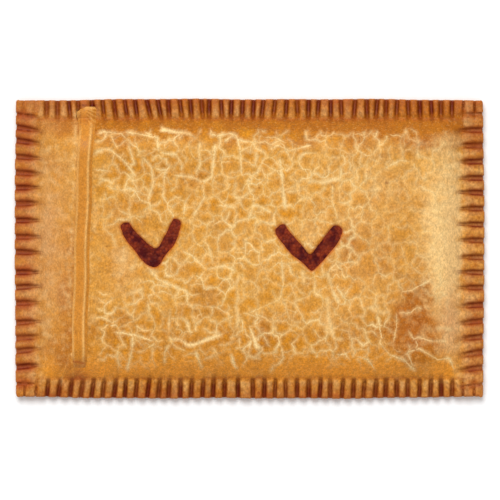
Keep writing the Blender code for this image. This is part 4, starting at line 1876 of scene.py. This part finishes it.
@dataclass
class Crust(Piece):
    """The pastry case: crimped rim, crackled lid with two vents, flat base and the hollow inside."""

    NAME = "Crackled_crust"
    NODE = "crust"

    pie: PieShape
    rows: dict[Side, CrimpRow]
    cracks: CrackNetwork
    hollow: Hollow
    finish: CrustFinish = CrustFinish()
    edge_round: float = 0.7 * MM
    undercut: float = 1.2 * MM
    seam_height: float = 2.1 * MM
    seam_depth: float = 0.28 * MM
    wall_rows: int = 11
    lip_drop: float = 0.55 * MM
    lip_reach: float = 1.3 * MM
    lid_step: float = 1.22 * MM
    base_step: float = 3.4 * MM
    rim_step: float = 0.42 * MM
    crack_flank: float = 0.45 * MM
    vent_rings: tuple[float, ...] = (0.8 * MM, 1.25 * MM, 1.8 * MM)
    plate_rise: float = 0.1 * MM
    crack_depth: float = 0.08 * MM
    dough_bumps: float = 0.22 * MM
    seed: int = 7
    browning: tuple[Spot, ...] = patches(
        (93, -54, 10, 12, 0.7), (86, -42, 11, 16, 1.25), (96, 62, 18, 10, 1.6), (-99, -40, 6, 24, 0.75),
        (60, -43, 18, 10, 0.4), (-33, -9, 8, 6, 0.3), (88, -26, 8, 6, 0.4), (6, -51, 84, 16, 0.6),
        (-23, -27, 8, 9, 0.5), (-77, 65, 8, 5, 0.5), (-55, 44, 26, 15, 0.4), (62, -3, 14, 12, 0.15),
        (-70, -45, 22, 16, 0.3), (24, 57.5, 6, 3.5, 0.5), (28.5, 47, 4, 4, 0.4), (-24, 40, 3.4, 3, 0.6),
        (7, 56, 5, 5, 0.4), (-11, 55, 3, 4, 0.4), (8, -44, 5, 7, 0.5), (102, 64, 13, 6, 1.2), (95, -20, 8, 8, 0.9),
        (52, 4, 5, 5, 0.5), (-66, 56, 9, 5, 0.4), (92, 64, 9, 5, 0.5), (-97, -22, 5, 9, 0.4), (-96, -2, 5, 16, 0.8),
        (-103, -55, 12, 6, 0.5), (84, -55, 7, 6, 0.7), (-73, 17, 9, 10, 0.35), (56, 56, 9, 5, 0.4),
        (31, 57, 5, 5, 0.4), (78, 0, 26, 46, 0.2), (50, 0, 8, 8, 0.35),
    )
    # Small dark spots on the lid; the last two are a painted shadow in the gap behind the strip's folded end.
    specks_and_knob_shadow: tuple[Spot, ...] = patches(
        (73, 35, 0.9, 0.6, 0.7), (67.6, 7.6, 1.1, 0.8, 0.45), (81.5, 5, 0.7, 0.8, 0.5), (9, -50.8, 1.2, 0.6, 0.35),
        (-82.6, 76.1, 1.7, 0.9, 0.8), (-88.3, 76.2, 2.0, 0.8, 0.7),
    )
    # Paler patches; the first, on the right slope, is also painted light that makes up for the shade the key light
    # leaves there.
    paling: tuple[Spot, ...] = patches(
        (105, 10, 11, 44, 1.35), (66, 34, 30, 15, 0.3), (0, 5, 55, 34, 0.1), (-107, 0, 6, 62, 0.3),
        (-50.5, -12.6, 2.6, 1.8, 0.8), (-33, 14.6, 4, 1.4, 0.6), (-92.4, 60, 1.6, 11, 0.35), (31, 8, 5, 8, 0.3),
        (-68, -4, 6, 7, 0.6), (107, -38, 5, 14, 0.5), (102, 70, 16, 6, -1.3), (102, 13, 9, 6, 0.4),
        (42, -38, 6, 5, 0.5), (-64, -12, 7, 6, 0.5),
    )
    welts: tuple[Welt, ...] = raised_lines(
        (-94.2, -56, -94.2, -62), (-94.2, -62, -93.4, -68.6), (-97.2, -61.3, -99.2, -67.4),
        (-99.2, -67.4, -99.9, -73), (-103.3, -61.2, -98, -61.5, 0.42, 0.2), (-91.2, 74.5, -92.6, 69, 0.6),
        (-90.5, -66.4, -86, -64.2, 0.5, 0.2),
    )
    smears: tuple[Spot, ...] = patches(
        (-89.6, -66.6, 4.2, 3.2, 0.6), (-93.5, -70, 3.4, 3, 0.4), (-98, -61, 5, 4, 0.35), (86, -42, 10, 15, 0.3),
    )
    blush: tuple[Spot, ...] = patches(
        (106, -40, 7, 17, 0.8), (-106, 4, 13, 52, 0.7), (-84, -66, 7, 5, 0.6), (107, 0, 7, 40, 0.12),
        (54, -2, 22, 34, 0.3), (-68, 0, 12, 22, 0.3),
    )

    def crimped(self, x: Array, y: Array, *measures: Callable[[Crimping], Array]) -> list[Array]:
        """The most that any row of crimps does at each place, by each of some methods of Crimping."""
        rows = [Crimping(row, *row.coordinates(x, y)) for row in self.rows.values()]
        return [np.max([measure(row) for row in rows], axis=0) for measure in measures]

    def height(self, x: Array, y: Array) -> Array:
        """Height of the dough's upper surface, with grooves and ridges but no cracks.

        Args:
            x: places along X.
            y: places along Y.

        Returns:
            The height at each place.
        """
        pressed, raised = self.crimped(x, y, Crimping.groove, Crimping.ridge)
        rough = self.dough_bumps * (cloud(x, y, 5.2 * MM, 17.0) - 0.5)
        rough = rough + 0.3 * self.dough_bumps * (blobs(x, y, 1.3 * MM, 19.0) - 0.5)
        lip = self.lip_drop * (1 - smooth(vent_distance(x, y) / self.lip_reach))
        welts = np.max([welt.rise * welt.share(x, y) for welt in self.welts], axis=0)
        return self.pie.lid_height(x, y) - pressed + raised * smooth(1 - pressed / (0.3 * MM)) + rough + welts - lip

    def colouring(self, plan: Array, present: Array) -> dict[str, Array]:
        """The fields of points on the upper surface, without those of the cracks.

        Args:
            plan: the points in plan.
            present: how crackled the glaze is there.

        Returns:
            The values of each field.
        """
        x, y = plan.T
        half_x, half_y = self.pie.half
        side_in, end_in = half_y - np.abs(y), half_x - np.abs(x)
        groove, toast_and_shade, painted_highlight = self.crimped(x, y, Crimping.darkness, Crimping.reddening_and_shade, Crimping.painted_highlight)
        patchy = cloud(x, y, 9 * MM, 41.0)
        # The back band is browner: baked, and painted darker still to offset the key light that falls full on it.
        back = smooth((27 * MM - (half_y - y)) / (11 * MM))
        # Front band, which gets painted light to offset its shade from the key light.
        front = smooth((31 * MM - (half_y + y)) / (14 * MM)) * smooth((half_y + y - 9 * MM) / (3 * MM))
        rim = np.maximum(smooth((14 * MM - side_in) / (6 * MM)), smooth((14 * MM - end_in) / (6 * MM)))
        field = smooth((end_in - 10.5 * MM) / (3.5 * MM))
        mottle = cloud(x, y, 4.5 * MM, 45.0) - 0.5
        fine = (1 - back) * (1 - 0.55 * rim) * (1 - 0.9 * np.sqrt(present)) * (cloud(x, y, 2.6 * MM, 48.0) - 0.5)
        welts = np.max([welt.share(x, y) for welt in self.welts], axis=0)
        brown = back + 0.8 * rim * blobs(x, y, 1.5 * MM, 47.0) ** 1.5 + spotted(self.browning, x, y)
        left = smooth((-93 * MM - x) / (4 * MM))
        slow = cloud(x, y, 34 * MM, 43.0)
        brown = np.maximum(brown, 0.3 * left) + 0.6 * (patchy - 0.5) + 0.5 * (slow - 0.5) + 0.7 * mottle + 0.05
        brown = clamped(brown)
        beside = smooth((70 * MM - np.abs(y + 2 * MM)) / (4 * MM)) * smooth((blobs(x, y, 1.1 * MM, 51.0) - 0.3) / 0.3)
        # A dotted line of painted shade in the crevice along the strip's left foot.
        gap = beside * bell((x - self.strip_edge(y)) / (0.5 * MM))
        beside = beside * bell((x - self.strip_edge(y) + 1.4 * MM) / (0.7 * MM))
        pale = field * spotted(self.paling, x, y) * (0.6 + 0.8 * patchy)
        toast_and_shade = toast_and_shade * (0.45 + 1.1 * patchy) + spotted(self.smears, x, y)
        return {
            "brown": brown,
            "pale": clamped(pale + 0.5 * painted_highlight + 0.3 * beside + 1.6 * fine + 0.6 * welts),
            "rose": clamped(spotted(self.blush, x, y)),
            "toast_and_shade": clamped(toast_and_shade) * (1 - 0.8 * welts),
            "amber_painted_light": front * smooth((end_in - 11 * MM) / (9 * MM)) * (1 - 0.72 * brown),
            "groove": clamped(np.maximum(groove, 0.25 * gap) + spotted(self.specks_and_knob_shadow, x, y)),
            "cut": 0.9 * (1 - smooth((vent_distance(x, y) - 0.1 * MM) / (1.3 * MM))) ** 1.5,
            "speckle": 0.06 + 0.05 * smooth((x + 90 * MM) / (6 * MM)) + 0.1 * rim,
        }

    def strip_edge(self, y: Array) -> Array:
        """The strip's left border.

        Args:
            y: places along Y.

        Returns:
            The border's place along X at each of them.
        """
        share = clamped((DoughStrip.back - y) / (DoughStrip.back - DoughStrip.front))
        middle = DoughStrip.back_x + DoughStrip.shift - DoughStrip.drift * share**DoughStrip.drift_power
        return middle - DoughStrip.half_width - 0.35 * MM

    def outline(self) -> tuple[Array, Array]:
        """Edge of the pie, counter-clockwise from the front left.

        Returns:
            Its plan points and their outward normals.
        """
        points, normals = [], []
        for quarter, row in enumerate(self.rows.values()):
            corner = math.radians(-135 + 90 * quarter)
            signs = np.sign([math.cos(corner), math.sin(corner)])
            trimmed = self.pie.corner_radius + row.wander / 2 + row.edge_bow
            centre = signs * (self.pie.half - trimmed)
            for step in np.linspace(-0.5, 0.5, 7):
                angle = corner + step * math.pi / 2
                normals.append(np.array([math.cos(angle), math.sin(angle)]))
                points.append(centre + self.pie.corner_radius * normals[-1])
            places = row.stations[:: -1 if row.side in (Side.BACK, Side.LEFT) else 1, 0]
            points += list(row.place(places, row.trim(places)))
            normals += [np.array(row.side.value, float)] * len(places)
        return np.array(points), np.array(normals)

    def rim_points(self) -> Array:
        """Points for the mesh to follow on the rim.

        Returns:
            Plan points along the lines of each row's grooves.
        """
        points = []
        for row in self.rows.values():
            places, leans = row.stations.T
            for depth in np.arange(1.1 * MM, row.band * 1.16, 0.88 * MM):
                points.append(row.place(places + leans * depth, depth))
        stacked = np.vstack(points)
        clear = self.pie.half - self.pie.corner_radius - 0.4 * MM
        return stacked[(np.abs(stacked) < clear).all(axis=1)]

    def top_sheet(self, outer: Array, holes: list[Array]) -> Sheet:
        """Plan of the upper surface: fine at the grooves, along the cracks and round the vents.

        Args:
            outer: outline of the surface.
            holes: outlines of the vents.

        Returns:
            The triangles.
        """
        scatter = Scatter()
        scatter.hold(outer.tolist())
        for hole in holes:
            scatter.hold(hole.tolist())
        for grow in self.vent_rings:
            ring = np.vstack([vent.loop(self.hollow.vent_step, grow, self.hollow.ragged) for vent in VENTS])
            scatter.offer(ring[vent_distance(*ring.T) > 0.7 * grow], 0.3 * MM)
        middle, *flanks = self.cracks.mesh_points(self.crack_flank)
        for points, spacing in ((middle, 0.5 * MM), (np.vstack(flanks), 0.36 * MM)):
            scatter.offer(points[vent_distance(*points.T) > 0.9 * MM], spacing)
        for welt in self.welts:
            scatter.offer(welt.mesh_points(), 0.34 * MM)
        places = np.arange(-66, 75, 0.8) * MM
        for offset in (-0.1, -0.7, -1.3, -1.9, -2.5):
            scatter.offer(np.column_stack([self.strip_edge(places) + offset * MM, places]), self.rim_step)
        scatter.offer(self.rim_points(), self.rim_step)
        grid = staggered(self.pie.half - 4 * MM, self.lid_step)
        grid = grid + (np.random.default_rng(self.seed).random(grid.shape) - 0.5) * 0.4 * self.lid_step
        scatter.offer(grid[vent_distance(*grid.T) > 1.0 * MM], 0.64 * self.lid_step)
        return Sheet(outer, holes, scatter.taken)

    def build(self) -> Shell:
        """Builds the closed case.

        Returns:
            The mesh in the making.
        """
        shell = Shell(CrustFinish.FIELDS)
        edge, normals = self.outline()
        holes = [vent.loop(self.hollow.vent_step, self.hollow.flare, self.hollow.ragged) for vent in VENTS]
        top = self.top_sheet(edge - normals * self.edge_round, holes)
        core, haze, clear = self.cracks.near(top.plan)
        x, y = top.plan.T
        heights = self.height(x, y)
        present = self.cracks.presence(x, y)
        values = self.colouring(top.plan, present)
        rise = smooth(clear / (2.4 * MM)) * np.sqrt(present)
        heights = heights + self.plate_rise * rise - self.crack_depth * core
        plate = self.plate_tone(top.plan, clear, present) * (1 - 0.8 * values["pale"])
        values |= {"crack": core, "haze": haze, "plate": plate}
        upper = shell.add(top.plan, heights, values)
        shell.sheet(upper, top.triangles)
        base = self.add_wall(shell, edge, normals, upper[top.loops[0]], heights[top.loops[0]])
        self.add_underside(shell, base, edge - normals * self.undercut)
        self.add_hollow(shell, [upper[ring] for ring in top.loops[1:]], holes)
        return shell

    def plate_tone(self, plan: Array, clear: Array, present: Array) -> Array:
        """How orange each plate of glaze is, strongest in its middle.

        Args:
            plan: points in plan.
            clear: distance from the nearest crack.
            present: how crackled it is there.

        Returns:
            The tone at each point.
        """
        x, y = plan.T
        middle = smooth((clear - 0.8 * MM) / (2.6 * MM))
        uneven = smooth((cloud(x, y, 8 * MM, 61.0) - 0.32) / 0.36)
        faint = 1 - 0.5 * smooth((x - 35 * MM) / (40 * MM))
        return clamped((0.32 + 0.8 * middle * uneven) * (0.35 + 0.65 * present) * faint)

    def add_wall(self, shell: Shell, edge: Array, normals: Array, upper: Array, tops: Array) -> Array:
        """Adds the outer edge: round at the top, with the seam of lid and base, drawn in at the foot.

        Args:
            shell: the mesh in the making.
            edge: nominal edge in plan.
            normals: outward normals of the edge.
            upper: vertices of the upper surface's outline.
            tops: their heights.

        Returns:
            The vertices of the lowest ring.
        """
        before = upper
        for step in range(1, self.wall_rows + 1):
            share = 1 - step / self.wall_rows
            heights = tops * share
            turn = clamped((share - 0.72) / 0.28)
            rounding = self.edge_round * (1 - np.sqrt(1 - turn**2))
            seam = self.seam_depth * bell((heights - self.seam_height) / (0.42 * MM)) * (share < 0.86)
            foot = self.undercut * (1 - smooth(share / 0.45)) ** 1.5
            rough = 0.16 * MM * (cloud(edge[:, 0] + edge[:, 1], heights * 3, 2.2 * MM, 71.0) - 0.5)
            inset = rounding + seam + foot + rough * (0 < share)
            layered = bell((heights - self.seam_height) / (0.5 * MM))
            grooved = smooth((4.2 * MM - tops) / (1.2 * MM))
            values = {
                "toast_and_shade": 0.62 - 0.25 * share,
                "pale": 0.35 * layered * (0.2 < share),
                "groove": clamped(0.75 * grooved * share + 0.35 * (1 - share) ** 2),
                "brown": 0.6,
            }
            ring = shell.add(edge - normals * inset[:, None], heights, values)
            shell.join(ring, before)
            before = ring
        return before

    def add_underside(self, shell: Shell, ring: Array, plan: Array) -> None:
        """Adds the flat base, baked in mottled patches.

        Args:
            shell: the mesh in the making.
            ring: vertices round the base.
            plan: their places in plan.
        """
        points = staggered(self.pie.half - 4 * MM, self.base_step)
        sheet = Sheet(plan, [], points.tolist())
        x, y = sheet.plan[len(plan) :].T
        dimples = 0.35 * MM * smooth((cloud(x, y, 9 * MM, 81.0) - 0.52) / 0.2)
        mottle = cloud(x, y, 17 * MM, 91.0)
        values = {
            "brown": clamped(0.4 + 0.9 * (mottle - 0.4)),
            "toast_and_shade": np.clip(1.8 * (cloud(x, y, 11 * MM, 95.0) - 0.5), 0.0, 0.7),
            "pale": np.clip(1.2 * (0.5 - mottle), 0.0, 0.6),
        }
        inner = shell.add(sheet.plan[len(plan) :], dimples, values)
        shell.sheet(np.concatenate([ring, inner]), sheet.triangles)

    def add_hollow(self, shell: Shell, rims: list[Array], holes: list[Array]) -> None:
        """Adds the walls of the vents and the hollow that they open into.

        Args:
            shell: the mesh in the making.
            rims: vertices round each vent on the upper surface.
            holes: the vents' outlines there.
        """
        sheet = self.hollow.sheet
        roof = shell.add(sheet.plan, self.pie.cavity_height(*sheet.plan.T), {"cut": 0.7})
        shell.sheet(roof, sheet.triangles)
        for rim, hole, ring in zip(rims, holes, sheet.loops[1:]):
            lower = sheet.plan[ring]
            top = self.height(*hole.T)
            bottom = self.pie.cavity_height(*lower.T)
            before = rim
            for share in (0.3, 0.6):
                crumbly = 0.12 * MM * (blobs(hole[:, 0] + 9 * share, hole[:, 1], 1.1 * MM, 97.0) - 0.5)
                plan = draw_in(hole + (lower - hole) * share, crumbly)
                values = {"cut": 0.9, "pale": 0.2 * (1 - share)}
                row = shell.add(plan, top + (bottom - top) * share, values)
                shell.join(row, before)
                before = row
            shell.join(roof[ring], before)
        outline = sheet.loops[0]
        shell.close_below(roof[outline], sheet.plan[outline], self.pie.base, {"cut": 0.7})


# -------- filling


@dataclass
class Filling(Piece):
    """The minced beef, which takes up the hollow and rises into both vents."""

    NAME = "Beef_filling"
    NODE = "filling"

    pie: PieShape
    hollow: Hollow
    finish: FillingFinish = FillingFinish()
    sunk: float = 0.7 * MM
    slack: float = 0.5 * MM
    gap: float = 0.3 * MM
    overlap: float = 0.26 * MM
    crumb: float = 2.0 * MM
    crumb_rise: float = 0.2 * MM
    step: float = 0.46 * MM
    seed: int = 3

    def crumbs(self, plan: Array) -> tuple[Array, Array, Array]:
        """The crumbs of meat at each place.

        Args:
            plan: points in plan.

        Returns:
            The height of the crumb's surface, how deep in a gap it lies, and the crumb's own number.
        """
        cells = staggered(self.pie.half, self.crumb)
        draw = np.random.default_rng(self.seed)
        centres = cells + (draw.random(cells.shape) - 0.5) * 0.75 * self.crumb
        tree = finder(centres)
        nearest = [tree.find_n((x, y, 0.0), 2) for x, y in plan.tolist()]
        first = np.array([found[0][2] for found in nearest])
        second = np.array([found[1][2] for found in nearest])
        number = np.array([found[0][1] for found in nearest])
        border = smooth((second - first) / (0.42 * self.crumb))
        lift = 0.5 + 0.5 * hashed(number, 5.0)
        streaks = 0.35 * self.crumb_rise * blobs(plan[:, 0] + plan[:, 1], plan[:, 0] - plan[:, 1], 1.1 * MM, 6.0)
        return self.crumb_rise * lift * border + streaks, 1 - border, number

    def build(self) -> Shell:
        """Builds the closed filling.

        Returns:
            The mesh in the making.
        """
        shell = Shell(FillingFinish.FIELDS)
        sheet = self.hollow.sheet
        plan = sheet.plan.copy()
        for ring in sheet.loops:
            plan[ring] = draw_in(plan[ring], self.gap)
        roof = shell.add(plan, self.pie.cavity_height(*sheet.plan.T) - self.slack, {"gap": 0.5})
        shell.sheet(roof, sheet.triangles)
        for vent, ring in zip(VENTS, sheet.loops[1:]):
            self.add_mince(shell, vent, roof[ring])
        outline = sheet.loops[0]
        shell.close_below(roof[outline], plan[outline], self.pie.base + self.gap, {})
        return shell

    def add_mince(self, shell: Shell, vent: Vent, lower: Array) -> None:
        """Adds the crumbs that show in one vent.

        Args:
            shell: the mesh in the making.
            vent: the vent.
            lower: vertices of the same vent's loop on the filling's roof.
        """
        outer = vent.loop(self.hollow.vent_step, self.overlap - self.hollow.draft, self.hollow.ragged)
        grid = staggered(self.pie.half, self.step)
        grid = grid[vent.distance(*grid.T) < -self.hollow.draft - 0.1 * MM]
        sheet = Sheet(outer, [], grid[inside(draw_in(outer, 0.2 * MM), grid)].tolist())
        lift, gap, number = self.crumbs(sheet.plan)
        x, y = sheet.plan.T
        uneven = 0.8 * MM * (cloud(x, y, 6 * MM, 15.0) - 0.5)
        heights = self.pie.lid_height(x, y) - self.sunk + lift + uneven - self.crumb_rise / 2
        kind = hashed(number, 8.0)
        values = {
            "lean": clamped(0.4 * (kind < 0.4) + 3.2 * (cloud(x, y, 4 * MM, 16.0) - 0.45)),
            "fat": 0.5 * (kind > 0.84) * (1 - gap),
            "gap": clamped(0.55 * gap**1.6),
        }
        top = shell.add(sheet.plan, heights, values)
        shell.sheet(top, sheet.triangles)
        shell.join(top[sheet.loops[0]], lower)


# -------- strip of dough


@dataclass
class DoughStrip(Piece):
    """The strip of dough laid across the lid, from a wide folded end on the back rim to the front rim."""

    NAME = "Strip_of_dough"
    NODE = "dough_strip"
    CREASE = math.radians(70)

    pie: PieShape
    finish: StripFinish = StripFinish()
    back: float = 75.4 * MM
    front: float = -63.0 * MM
    back_x: float = -85.9 * MM
    drift: float = 5.2 * MM
    drift_power: float = 0.6
    half_width: float = 4.1 * MM
    shift: float = 0.7 * MM
    thick: float = 1.6 * MM
    knob_half: float = 5.3 * MM
    knob_thick: float = 2.7 * MM
    knob_share: float = 0.10
    tip_share: float = 0.012
    tail_share: float = 0.10
    lifted: float = 0.05 * MM
    slant: float = 1.3 * MM
    bulge: float = 0.4 * MM
    end_swell: float = 0.1 * MM
    row_step: float = 0.75 * MM
    across: int = 33

    def frame_at(self, share: Array) -> tuple[Array, Array, Array, Array]:
        """Place and size of the strip a share of the way to its front end.

        Args:
            share: 0 at the folded end, 1 at the front end.

        Returns:
            x, y, half width and thickness.
        """
        y = self.back + (self.front - self.back) * share
        x = self.back_x - self.drift * share**self.drift_power + 0.25 * MM * np.sin(share * 21)
        knob = 1 - smooth(share / self.knob_share)
        x = x + self.shift * (1 - knob)
        tip = 1 - smooth(share / self.tip_share)
        tail = smooth((share - 1.0) / self.tail_share + 1.0)
        blunt = smooth((share - 0.985) / 0.015)
        half_width = self.half_width + (self.knob_half - self.half_width) * knob
        half_width = half_width + 0.22 * MM * (blobs(share * 0.14, share * 0, 0.006, 4.0) - 0.5)
        thick = self.thick + (self.knob_thick - self.thick) * knob
        thick = thick * (1 - 0.5 * tip - 0.6 * tail) * (1 - 0.6 * blunt)
        return x, y, half_width * (1 - 0.28 * tip - 0.12 * tail - 0.1 * blunt), thick

    def build(self) -> Shell:
        """Builds the closed strip.

        Returns:
            The mesh in the making.
        """
        shell = Shell(StripFinish.FIELDS)
        length = self.back - self.front
        plain = np.arange(0.1, 0.985, self.row_step / length)
        shares = np.concatenate([np.linspace(0.0, 0.1, 42)[:-1], plain, np.linspace(0.985, 1.0, 6)])
        side = np.linspace(-1.0, 1.0, self.across)
        side = np.sin(side * math.pi / 2) * 0.35 + side * 0.65
        under = np.linspace(1.0, -1.0, 7)[1:-1]
        before: Array | None = None
        for share in shares:
            x, y, half_width, thick = (float(value) for value in self.frame_at(np.array(share)))
            fallen = self.slant * (1 - smooth(share / 0.08))
            places = y - fallen * smooth((-0.15 - side) / 0.7)
            bulge = self.bulge * bell((y - 72 * MM) / (2.2 * MM)) * smooth((-0.3 - side) / 0.5)
            plan = np.column_stack([x + side * half_width - bulge, places])
            level, values = self.profile(side, share, plan)
            top = self.pie.lid_height(*plan.T) + self.lifted + level * thick
            low = np.column_stack([x + under * half_width, y - fallen * smooth((-0.15 - under) / 0.7)])
            bottom = self.pie.lid_height(*low.T) + self.lifted
            ring = np.concatenate([shell.add(plan, top, values), shell.add(low, bottom, {"fold": 0.6})])
            if before is None:
                # The back face of the folded end is painted darker: painted shade.
                shell.cap(ring, (x, y + self.end_swell), bottom.mean() + 0.3 * thick, {"dark": 0.3})
            else:
                shell.join(before, ring)
            before = ring
        shell.cap(before, (x, y - self.end_swell), bottom.mean() + 0.2 * thick, {"fold": 0.5})
        return shell

    def profile(self, side: Array, share: float, plan: Array) -> tuple[Array, dict[str, Array]]:
        """Cross-section of the strip: a bead along each border, creases in the folded end.

        Args:
            side: places across, from -1 to 1.
            share: place along the strip.
            plan: the same places in plan.

        Returns:
            Height as a share of the thickness, and the fields.
        """
        x, y = plan.T
        shoulder = 1 - smooth((np.where(side > 0, side - 0.5, -side - 0.72)) / np.where(side > 0, 0.5, 0.28))
        right_bead, left_bead = bell((side - 0.5) / 0.17), bell((side + 0.87) / 0.15)
        plain = smooth((share - 0.05) / 0.06)
        level = 0.78 + 0.22 * right_bead * plain + 0.14 * left_bead * plain + 0.07 * (cloud(x, y, 4 * MM, 27.0) - 0.5)
        knob = 1 - smooth((share - 0.045) / 0.05)
        turn = np.arctan2(y - 76.2 * MM, x + 93.8 * MM)
        creases = np.sin(turn * 38.0 + 0.6 * np.sin(x / (1.7 * MM)))
        creased = knob * smooth((x + 87.4 * MM) / (2.4 * MM)) * smooth((74.9 * MM - y) / (1.2 * MM))
        lobe = knob * bell((x + 91.2 * MM) / (1.2 * MM)) * bell((y - 71.6 * MM) / (3.0 * MM))
        valley = knob * bell((x + 89.7 * MM) / (0.45 * MM)) * smooth((74.6 * MM - y) / (3 * MM))
        lip = bell((y - 74.8 * MM) / (0.6 * MM)) * smooth((x + 89 * MM) / (2 * MM))
        level = level + 0.06 * creased * creases + 0.16 * lobe - 0.2 * valley + 0.08 * lip
        tail = smooth((share - 0.95) / 0.04)
        tuck = bell((y + 60.2 * MM + 0.2 * (x + 91 * MM)) / (0.45 * MM)) * smooth((-87 * MM - x) / (2 * MM))
        beads = (0.95 * right_bead + 0.8 * left_bead) * (0.15 + 0.85 * plain) * (1 - 0.6 * tail)
        crests, troughs = clamped(creases) * creased, clamped(-creases) * creased
        folded = knob * bell(np.hypot(x + 87 * MM, y - 68.4 * MM) / (2.6 * MM))
        values = {
            # Paler beads, lip and lobe, and a painted highlight on the creases' crests.
            "border": clamped(beads + 0.4 * crests + 0.6 * lip + 0.6 * lobe),
            # Painted shade in the valley and the creases' troughs.
            "dark": clamped(0.45 * valley + 0.25 * troughs),
            "fold": clamped(0.5 * folded + tuck + 0.3 * tail),
        }
        return np.clip(level, 0.05, 1.1) * (0.06 + 0.94 * shoulder), values


# -------- studio


@dataclass(frozen=True)
class Studio:
    """White floor, soft light from the back, and a camera straight above."""

    view_width: float = 265.65 * MM
    aim: tuple[float, float] = (0.27 * MM, -0.69 * MM)
    lens: float = 1200.0
    sensor: float = 36.0
    rim_height: float = 3 * MM
    floor_size: float = 6.0
    floor_drop: float = 0.1 * MM
    ambient: float = 0.66
    key_strength: float = 2.15
    key_angle: float = math.radians(40)
    key_tilt: float = math.radians(37)
    key_turn: float = math.radians(14)

    def build(self) -> None:
        """Sets up the floor, the lights and the camera."""
        bpy.context.scene.view_settings.view_transform = "Standard"
        self.add_floor()
        self.add_light()
        self.add_camera()

    def add_floor(self) -> None:
        """Adds the floor just under the pie."""
        mesh = bpy.data.meshes.new("Floor")
        half, level = self.floor_size / 2, -self.floor_drop
        corners = [(-half, -half, level), (half, -half, level), (half, half, level), (-half, half, level)]
        mesh.from_pydata(corners, [], [(0, 1, 2, 3)])
        mesh.materials.append(FloorFinish().material())
        floor = in_scene("Floor", mesh)

    def add_light(self) -> None:
        """Adds even light all round and one soft key light."""
        world = bpy.data.worlds.new("Studio")
        world.use_nodes = True
        world.node_tree.nodes["Background"].inputs["Color"].default_value = (1.0, 1.0, 1.0, 1.0)
        world.node_tree.nodes["Background"].inputs["Strength"].default_value = self.ambient
        bpy.context.scene.world = world
        key = bpy.data.lights.new("Key", "SUN")
        key.energy = self.key_strength
        key.angle = self.key_angle
        lamp = in_scene("Key", key)
        lamp.rotation_euler = (-self.key_tilt, 0.0, self.key_turn)
        lamp.location = (0.0, 0.0, 1.0)

    def add_camera(self) -> None:
        """Adds the camera, which frames the view's width at the height of the rim."""
        data = bpy.data.cameras.new("Camera")
        data.lens = self.lens
        data.sensor_width = self.sensor
        distance = self.view_width * self.lens / self.sensor
        data.clip_start = distance / 10
        data.clip_end = distance * 4
        camera = in_scene("Camera", data)
        camera.location = (*self.aim, distance + self.rim_height)
        bpy.context.scene.camera = camera


# -------- assembly


def hand_over(piece: Object, node: str) -> None:
    """Puts a piece in the place of its node, on the pie's one body, and reports it.

    Args:
        piece: the object.
        node: name of the node.
    """
    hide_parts(node)
    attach(piece, BODY)
    LOG.info("%s: %d triangles", piece.name, sum(len(face.vertices) - 2 for face in piece.data.polygons))


def main() -> None:
    """Builds the pie and its studio."""
    logging.basicConfig(level=logging.INFO, format="%(name)s: %(message)s")
    pie = PieShape()
    effects = SharedEffects()
    hollow = Hollow(pie)
    crust = Crust(pie, crimp_rows(pie), CrackNetwork(pie), hollow)
    for maker in (crust, Filling(pie, hollow), DoughStrip(pie)):
        hand_over(maker.dress(maker.build(), effects), maker.NODE)
    Studio().build()


if __name__ == "__main__":
    main()
